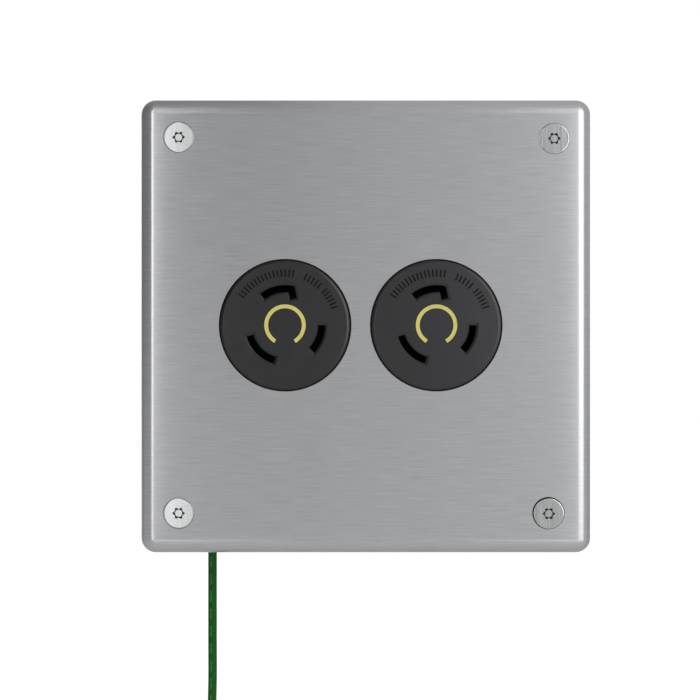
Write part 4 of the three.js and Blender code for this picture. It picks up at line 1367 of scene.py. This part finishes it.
# ---------------------------------------------------------------- screws and nuts behind the cover
def slotted_screw(node, place, head, thick, radius, turn, slot):
    """Screw along Y with a crowned head and a ridged thread down to its tip. Its slot is a straight groove, given
    by its half width and its depth."""
    low, high = limits(node)
    seat, top, tip = high[1] - thick, high[1], low[1]
    surface = Surface()
    soft = 0.5 * MM
    flat = head - soft
    count = int(abs(seat - tip) / (0.35 * MM))
    depths = np.linspace(seat, tip, count + 1)[1:]
    radii = ridges(count, radius, radius - 0.22 * MM)
    round_over = [(head - inset, top - depth) for inset, depth, _ in quarter_bend(soft, 5)]
    surface.turned([*round_over, (head, seat), (radius, seat), *zip(radii, depths), (0, tip)], place, 40)
    (half, depth), length = slot, flat - 0.15 * MM
    groove = turned_box((-half, -length), (half, length), turn, place)
    floor = top - depth
    surface.wall(groove, [(0.06 * MM, top), (0, top - 0.06 * MM), (0, floor)])
    surface.plate(floor, groove(0))
    surface.plate(top, circle(flat, 40, place), [groove(0.06 * MM)])
    return surface


def hexagon(flats, place):
    """A hexagon given by its width across the flats, as a function of how far it is grown."""
    turn = np.radians(60 * np.arange(6))
    corners = np.stack([np.cos(turn), np.sin(turn)], axis=1)
    return lambda grow: place + (flats / 2 + grow) / math.cos(math.pi / 6) * corners


def nut_surface(node, flats, bore, towards):
    """Flanged hexagon nut: the flange seats on the side that `towards` points away from, and the bore is a plain
    round hole.
    """
    low, high = limits(node)
    place = middle(node)
    seat, top = (low[1], high[1]) if towards > 0 else (high[1], low[1])
    flange = seat + towards * 0.8 * MM
    surface = Surface()
    hole = round_hole(bore, place, 32)
    surface.slab(*sorted((seat, flange)), round_hole(flats / 2 + 0.6 * MM, place, 48), [hole])
    surface.slab(*sorted((flange, top)), hexagon(flats, place), [hole], 0.35 * MM)
    return surface


class POWERBOX_OT_cover_screws(bpy.types.Operator):
    """The four countersunk cover screws"""

    bl_idname = "powerbox.cover_screws"
    bl_label = "Cover screws"

    def execute(self, context):
        for corner in CORNERS:
            node = f"cover_screw_{corner}"
            surface = cover_screw_surface(middle(node), context.scene.power_screws)
            head = "worn_screw_steel" if "left" in corner else "screw_steel"
            # the recess takes a steel darkened with painted shade
            finish_node(surface, node, material(head), material("painted_shade_steel"))
        return {"FINISHED"}


class POWERBOX_OT_rivet_nuts(bpy.types.Operator):
    """The four threaded inserts in the box's front flange"""

    bl_idname = "powerbox.rivet_nuts"
    bl_label = "Rivet nuts"

    def execute(self, context):
        for corner in CORNERS:
            node = f"rivet_nut_{corner}"
            low, high = limits(node)
            seat = low[1] + 0.9 * MM
            back = seat + 2.1 * MM
            bore, barrel, head = 2.8 * MM, 3.5 * MM, 4.6 * MM
            turn = np.linspace(-np.pi / 2, np.pi / 2, 9)
            bulge = [(barrel + 1.3 * MM * math.cos(t), back + (1.1 + 1.1 * math.sin(t)) * MM) for t in turn]
            threads = np.linspace(high[1] - 0.4 * MM, low[1] + 0.4 * MM, 24)
            radii = ridges(len(threads), bore, bore + 0.3 * MM)
            outside = [(head - 0.2 * MM, low[1]), (head, low[1] + 0.2 * MM), (head, seat), (barrel, seat)]
            profile = [(bore + 0.3 * MM, low[1]), *outside, *bulge, (barrel, high[1] - 0.2 * MM)]
            profile += [(barrel - 0.2 * MM, high[1]), (bore + 0.3 * MM, high[1]), *zip(radii, threads)]
            surface = Surface()
            surface.turned([*profile, profile[0]], middle(node), 48)
            finish_node(surface, node)
        return {"FINISHED"}


class POWERBOX_OT_nuts(bpy.types.Operator):
    """The nuts behind the straps, and the washer and nut on the ground stud"""

    bl_idname = "powerbox.nuts"
    bl_label = "Nuts and washer"

    def execute(self, context):
        for node in upper_and_lower("strap_nut"):
            finish_node(nut_surface(node, 7 * MM, 2.1 * MM, 1), node)
        finish_node(nut_surface("ground_stud_nut", 8 * MM, 2.6 * MM, -1), "ground_stud_nut")
        low, high = limits("ground_stud_washer")
        place = middle("ground_stud_washer")
        surface = Surface()
        surface.slab(low[1], high[1], round_hole(5 * MM, place, 48), [round_hole(2.8 * MM, place)])
        finish_node(surface, "ground_stud_washer")
        return {"FINISHED"}


# ---------------------------------------------------------------- receptacles
SLOT_SPANS = {"line": LINE_SLOT, "neutral": NEUTRAL_SLOT, "ground": KEYED_SLOT}
HOUSING_FRONT = limits("receptacle_left_line_contact")[0][1] - 0.3 * MM
CAVITY_FLOOR = HOUSING_FRONT + 18.6 * MM
BOLT_AT = 25 * MM
WIRE_DEPTH = 5 * MM


def terminal_place(name, at=TERMINAL_AT):
    """Place behind the middle of a blade slot, from the receptacle's centre."""
    return polar(at, math.radians(sum(SLOT_SPANS[name]) / 2))


class POWERBOX_OT_faces(bpy.types.Operator):
    """The two round moulded faces with their blade slots and index marks"""

    bl_idname = "powerbox.faces"
    bl_label = "Receptacle faces"

    def execute(self, context):
        for side in SIDES:
            node = f"receptacle_{side}_face"
            surface = face_surface(middle(node), context.scene.power_receptacles)
            finish_node(surface, node, material("black_nylon"), material("mark_nylon"), sharp=20.0)
        return {"FINISHED"}


class POWERBOX_OT_ring_inlays(bpy.types.Operator):
    """The open yellow rings set in the faces"""

    bl_idname = "powerbox.ring_inlays"
    bl_label = "Ring inlays"

    def execute(self, context):
        for side, place in zip(SIDES, receptacle_places()):
            finish_node(inlay_surface(place), f"receptacle_{side}_ring_inlay", sharp=40.0)
        return {"FINISHED"}


def strap_outline(grow):
    """A disc joined to an upright bar with rounded ends."""
    radius, half, end = 22.6 * MM + grow, 10 * MM + grow, 51.5 * MM + grow
    meets = math.degrees(math.acos(half / radius))
    soft = 2 * MM + grow
    corner = np.array([half - soft, end - soft])
    top = np.concatenate([arc(soft, 0, 90, 6) + corner, arc(soft, 90, 180, 6) + corner * (-1, 1)])
    left = arc(radius, 180 - meets, 180 + meets, 40)
    return np.concatenate([top, left, -top, -left])


class POWERBOX_OT_straps(bpy.types.Operator):
    """The zinc-plated mounting straps"""

    bl_idname = "powerbox.straps"
    bl_label = "Straps"

    def execute(self, context):
        for side, place in zip(SIDES, receptacle_places()):
            node = f"receptacle_{side}_strap"
            low, high = limits(node)
            bolts = [round_hole(1.8 * MM, (0.0, end * BOLT_AT), 24) for end in (1, -1)]
            studs = [round_hole(2.3 * MM, (0.0, end * 41.65 * MM), 32) for end in (1, -1)]
            surface = Surface()
            surface.slab(low[1], high[1], strap_outline, [round_hole(20 * MM, count=128), *bolts, *studs])
            finish_node(surface.at(place), node)
        return {"FINISHED"}


def housing_surface():
    """Round barrel with cavities behind the blade slots, wire holes behind, and a lug above and below."""
    front, back = HOUSING_FRONT, HOUSING_BACK
    radius, count = FACE_FLANGE, 96
    flange_front = limits("receptacle_left_housing")[0][1]
    inward = front + 7.6 * MM
    soft = quarter_bend(1.2 * MM, 6)
    rib = 0.35 * MM
    surface = Surface()
    barrel = [(radius - inset, back - depth) for inset, depth, _ in soft]
    for at in (-0.62, -0.5):
        y = back + at * (back - front)
        barrel += [(radius, y + rib), (radius - rib, y + rib), (radius - rib, y - rib), (radius, y - rib)]
    surface.turned([*barrel, (radius, front)], count=count)
    cavities = [cavity(span) for span in SLOT_SPANS.values()]
    for name, outline in zip(SLOT_SPANS, cavities):
        bore = round_hole(1.8 * MM, terminal_place(name), 24)
        surface.wall(outline, [(0.2 * MM, front), (0, front + 0.2 * MM), (0, CAVITY_FLOOR)])
        surface.plate(CAVITY_FLOOR, outline(0), [bore(0)])
        surface.wall(bore, [(0, CAVITY_FLOOR), (0, back - 0.15 * MM), (0.15 * MM, back)])
    surface.plate(front, circle(radius, count), [outline(0.2 * MM) for outline in cavities])
    wires = [terminal_place(name, WIRE_AT) for name in SLOT_SPANS]
    wires.append(polar(WIRE_AT, GROUND_WIRE))
    mouths = [round_hole(1.8 * MM, terminal_place(name), 24)(0.15 * MM) for name in SLOT_SPANS]
    for place in wires:
        hole = round_hole(2 * MM, place, 32)
        surface.wall(hole, [(0.25 * MM, back), (0, back - 0.25 * MM), (0, back - WIRE_DEPTH)])
        surface.plate(back - WIRE_DEPTH, hole(0))
        mouths.append(hole(0.25 * MM))
    surface.plate(back, circle(radius - soft[0][0], count), mouths)
    for end in (1, -1):
        bolt = round_hole(1.8 * MM, (0.0, end * BOLT_AT), 24)
        for low, y, stop in ((18 * MM, front, inward), (22 * MM, flange_front, front)):
            high = 28 * MM
            lug = rounded_hole(14 * MM, high - low, 0.8 * MM, (0.0, end * (low + high) / 2), 4)
            surface.slab(y, stop, lug, [bolt], 0.2 * MM)
    return surface


def cavity(span):
    """Room for a contact behind a blade slot."""

    def outline(grow):
        turn = math.degrees(grow / (11 * MM)) + 5
        return sector(8.3 * MM - grow, 13.8 * MM + grow, span[0] - turn, span[1] + turn)

    return outline


class POWERBOX_OT_housings(bpy.types.Operator):
    """The rear housings of the receptacles"""

    bl_idname = "powerbox.housings"
    bl_label = "Housings"

    def execute(self, context):
        for side, place in zip(SIDES, receptacle_places()):
            surface = housing_surface().at(place)
            finish_node(surface, f"receptacle_{side}_housing", sharp=28.0)
        return {"FINISHED"}


def channel(inner, outer, span):
    """Band between two radii in millimetres, a little longer than a blade slot, as a function of how far it is
    grown across."""
    return lambda grow: sector(inner * MM - grow, outer * MM + grow, span[0] - 2.5, span[1] + 2.5)


def contact_surface(node, span):
    """Channel of spring brass: a curved floor between an inner and an outer leaf."""
    low, high = limits(node)
    floor = high[1] - 2 * MM
    surface = Surface()
    for inner, outer in ((8.7, 9.5), (12.6, 13.4)):
        surface.slab(low[1], high[1], channel(inner, outer, span), (), 0.15 * MM)
    surface.slab(floor, high[1], channel(9.5, 12.6, span), (), 0.1 * MM)
    return surface


class POWERBOX_OT_contacts(bpy.types.Operator):
    """The brass contacts inside the housings"""

    bl_idname = "powerbox.contacts"
    bl_label = "Contacts"

    def execute(self, context):
        for side, place in zip(SIDES, receptacle_places()):
            for name, span in SLOT_SPANS.items():
                node = f"receptacle_{side}_{name}_contact"
                surface = contact_surface(node, span).at(place)
                # the contacts take a brass darkened with painted shade
                finish_node(surface, node, material("painted_shade_brass"))
        return {"FINISHED"}


class POWERBOX_OT_terminals(bpy.types.Operator):
    """The pressure plates and binding screws behind the housings"""

    bl_idname = "powerbox.terminals"
    bl_label = "Terminals"

    def execute(self, context):
        for side, centre in zip(SIDES, receptacle_places()):
            for name, span in SLOT_SPANS.items():
                place, angle = centre + terminal_place(name), math.radians(sum(span) / 2)
                self.clamp(f"receptacle_{side}_{name}_clamp", place, angle)
                node = f"receptacle_{side}_{name}_screw"
                slot = (0.5 * MM, 1.1 * MM)
                finish_node(slotted_screw(node, place, 3.1 * MM, 2.3 * MM, 1.5 * MM, angle, slot), node)
        return {"FINISHED"}

    def clamp(self, node, place, angle):
        """Square plate with rounded corners and a round hole, turned with its terminal."""
        low, high = limits(node)
        surface = Surface()
        plate = rounded_hole(6.6 * MM, 6.6 * MM, 0.5 * MM, steps=4)
        surface.slab(low[1], high[1], plate, [round_hole(1.8 * MM, count=24)])
        finish_node(surface.moved(turned_about_y(angle), (place[0], 0.0, place[1])), node)


class POWERBOX_OT_housing_screws(bpy.types.Operator):
    """The screws that clamp the housings to the straps"""

    bl_idname = "powerbox.housing_screws"
    bl_label = "Housing screws"

    def execute(self, context):
        slot = (0.45 * MM, 0.9 * MM)
        for node in upper_and_lower("housing_screw"):
            surface = slotted_screw(node, middle(node), 2.8 * MM, 2 * MM, 1.5 * MM, math.pi / 2, slot)
            finish_node(surface, node)
        return {"FINISHED"}


# ---------------------------------------------------------------- add-on
SETTINGS = {
    "power_cover": CoverSettings,
    "power_box": BoxSettings,
    "power_screws": ScrewSettings,
    "power_receptacles": ReceptacleSettings,
    "power_leads": LeadSettings,
    "power_stage": StageSettings,
}
OPERATORS = (
    POWERBOX_OT_stage,
    POWERBOX_OT_bonding_lead,
    POWERBOX_OT_cover,
    POWERBOX_OT_faces,
    POWERBOX_OT_ring_inlays,
    POWERBOX_OT_cover_screws,
    POWERBOX_OT_box,
    POWERBOX_OT_gasket,
    POWERBOX_OT_bushings,
    POWERBOX_OT_rivet_nuts,
    POWERBOX_OT_straps,
    POWERBOX_OT_housings,
    POWERBOX_OT_contacts,
    POWERBOX_OT_terminals,
    POWERBOX_OT_housing_screws,
    POWERBOX_OT_nuts,
    POWERBOX_OT_lugs,
    POWERBOX_OT_inner_leads,
)


class POWERBOX_PT_panel(bpy.types.Panel):
    """Sidebar list of the settings and the pieces"""

    bl_label = "Power Box"
    bl_idname = "POWERBOX_PT_panel"
    bl_space_type = "VIEW_3D"
    bl_region_type = "UI"
    bl_category = "Power Box"

    def draw(self, context):
        for name, group in SETTINGS.items():
            box = self.layout.box()
            box.label(text=name.removeprefix("power_").capitalize())
            for prop in group.__annotations__:
                box.prop(getattr(context.scene, name), prop)
        for operator in OPERATORS:
            self.layout.operator(operator.bl_idname)


def register():
    for name, group in SETTINGS.items():
        bpy.utils.register_class(group)
        setattr(bpy.types.Scene, name, PointerProperty(type=group))
    for operator in OPERATORS:
        bpy.utils.register_class(operator)
    bpy.utils.register_class(POWERBOX_PT_panel)


def unregister():
    bpy.utils.unregister_class(POWERBOX_PT_panel)
    for operator in reversed(OPERATORS):
        bpy.utils.unregister_class(operator)
    for name, group in reversed(SETTINGS.items()):
        delattr(bpy.types.Scene, name)
        bpy.utils.unregister_class(group)


def main():
    register()
    for operator in OPERATORS:
        category, name = operator.bl_idname.split(".")
        getattr(getattr(bpy.ops, category), name)()


if __name__ == "__main__":
    main()
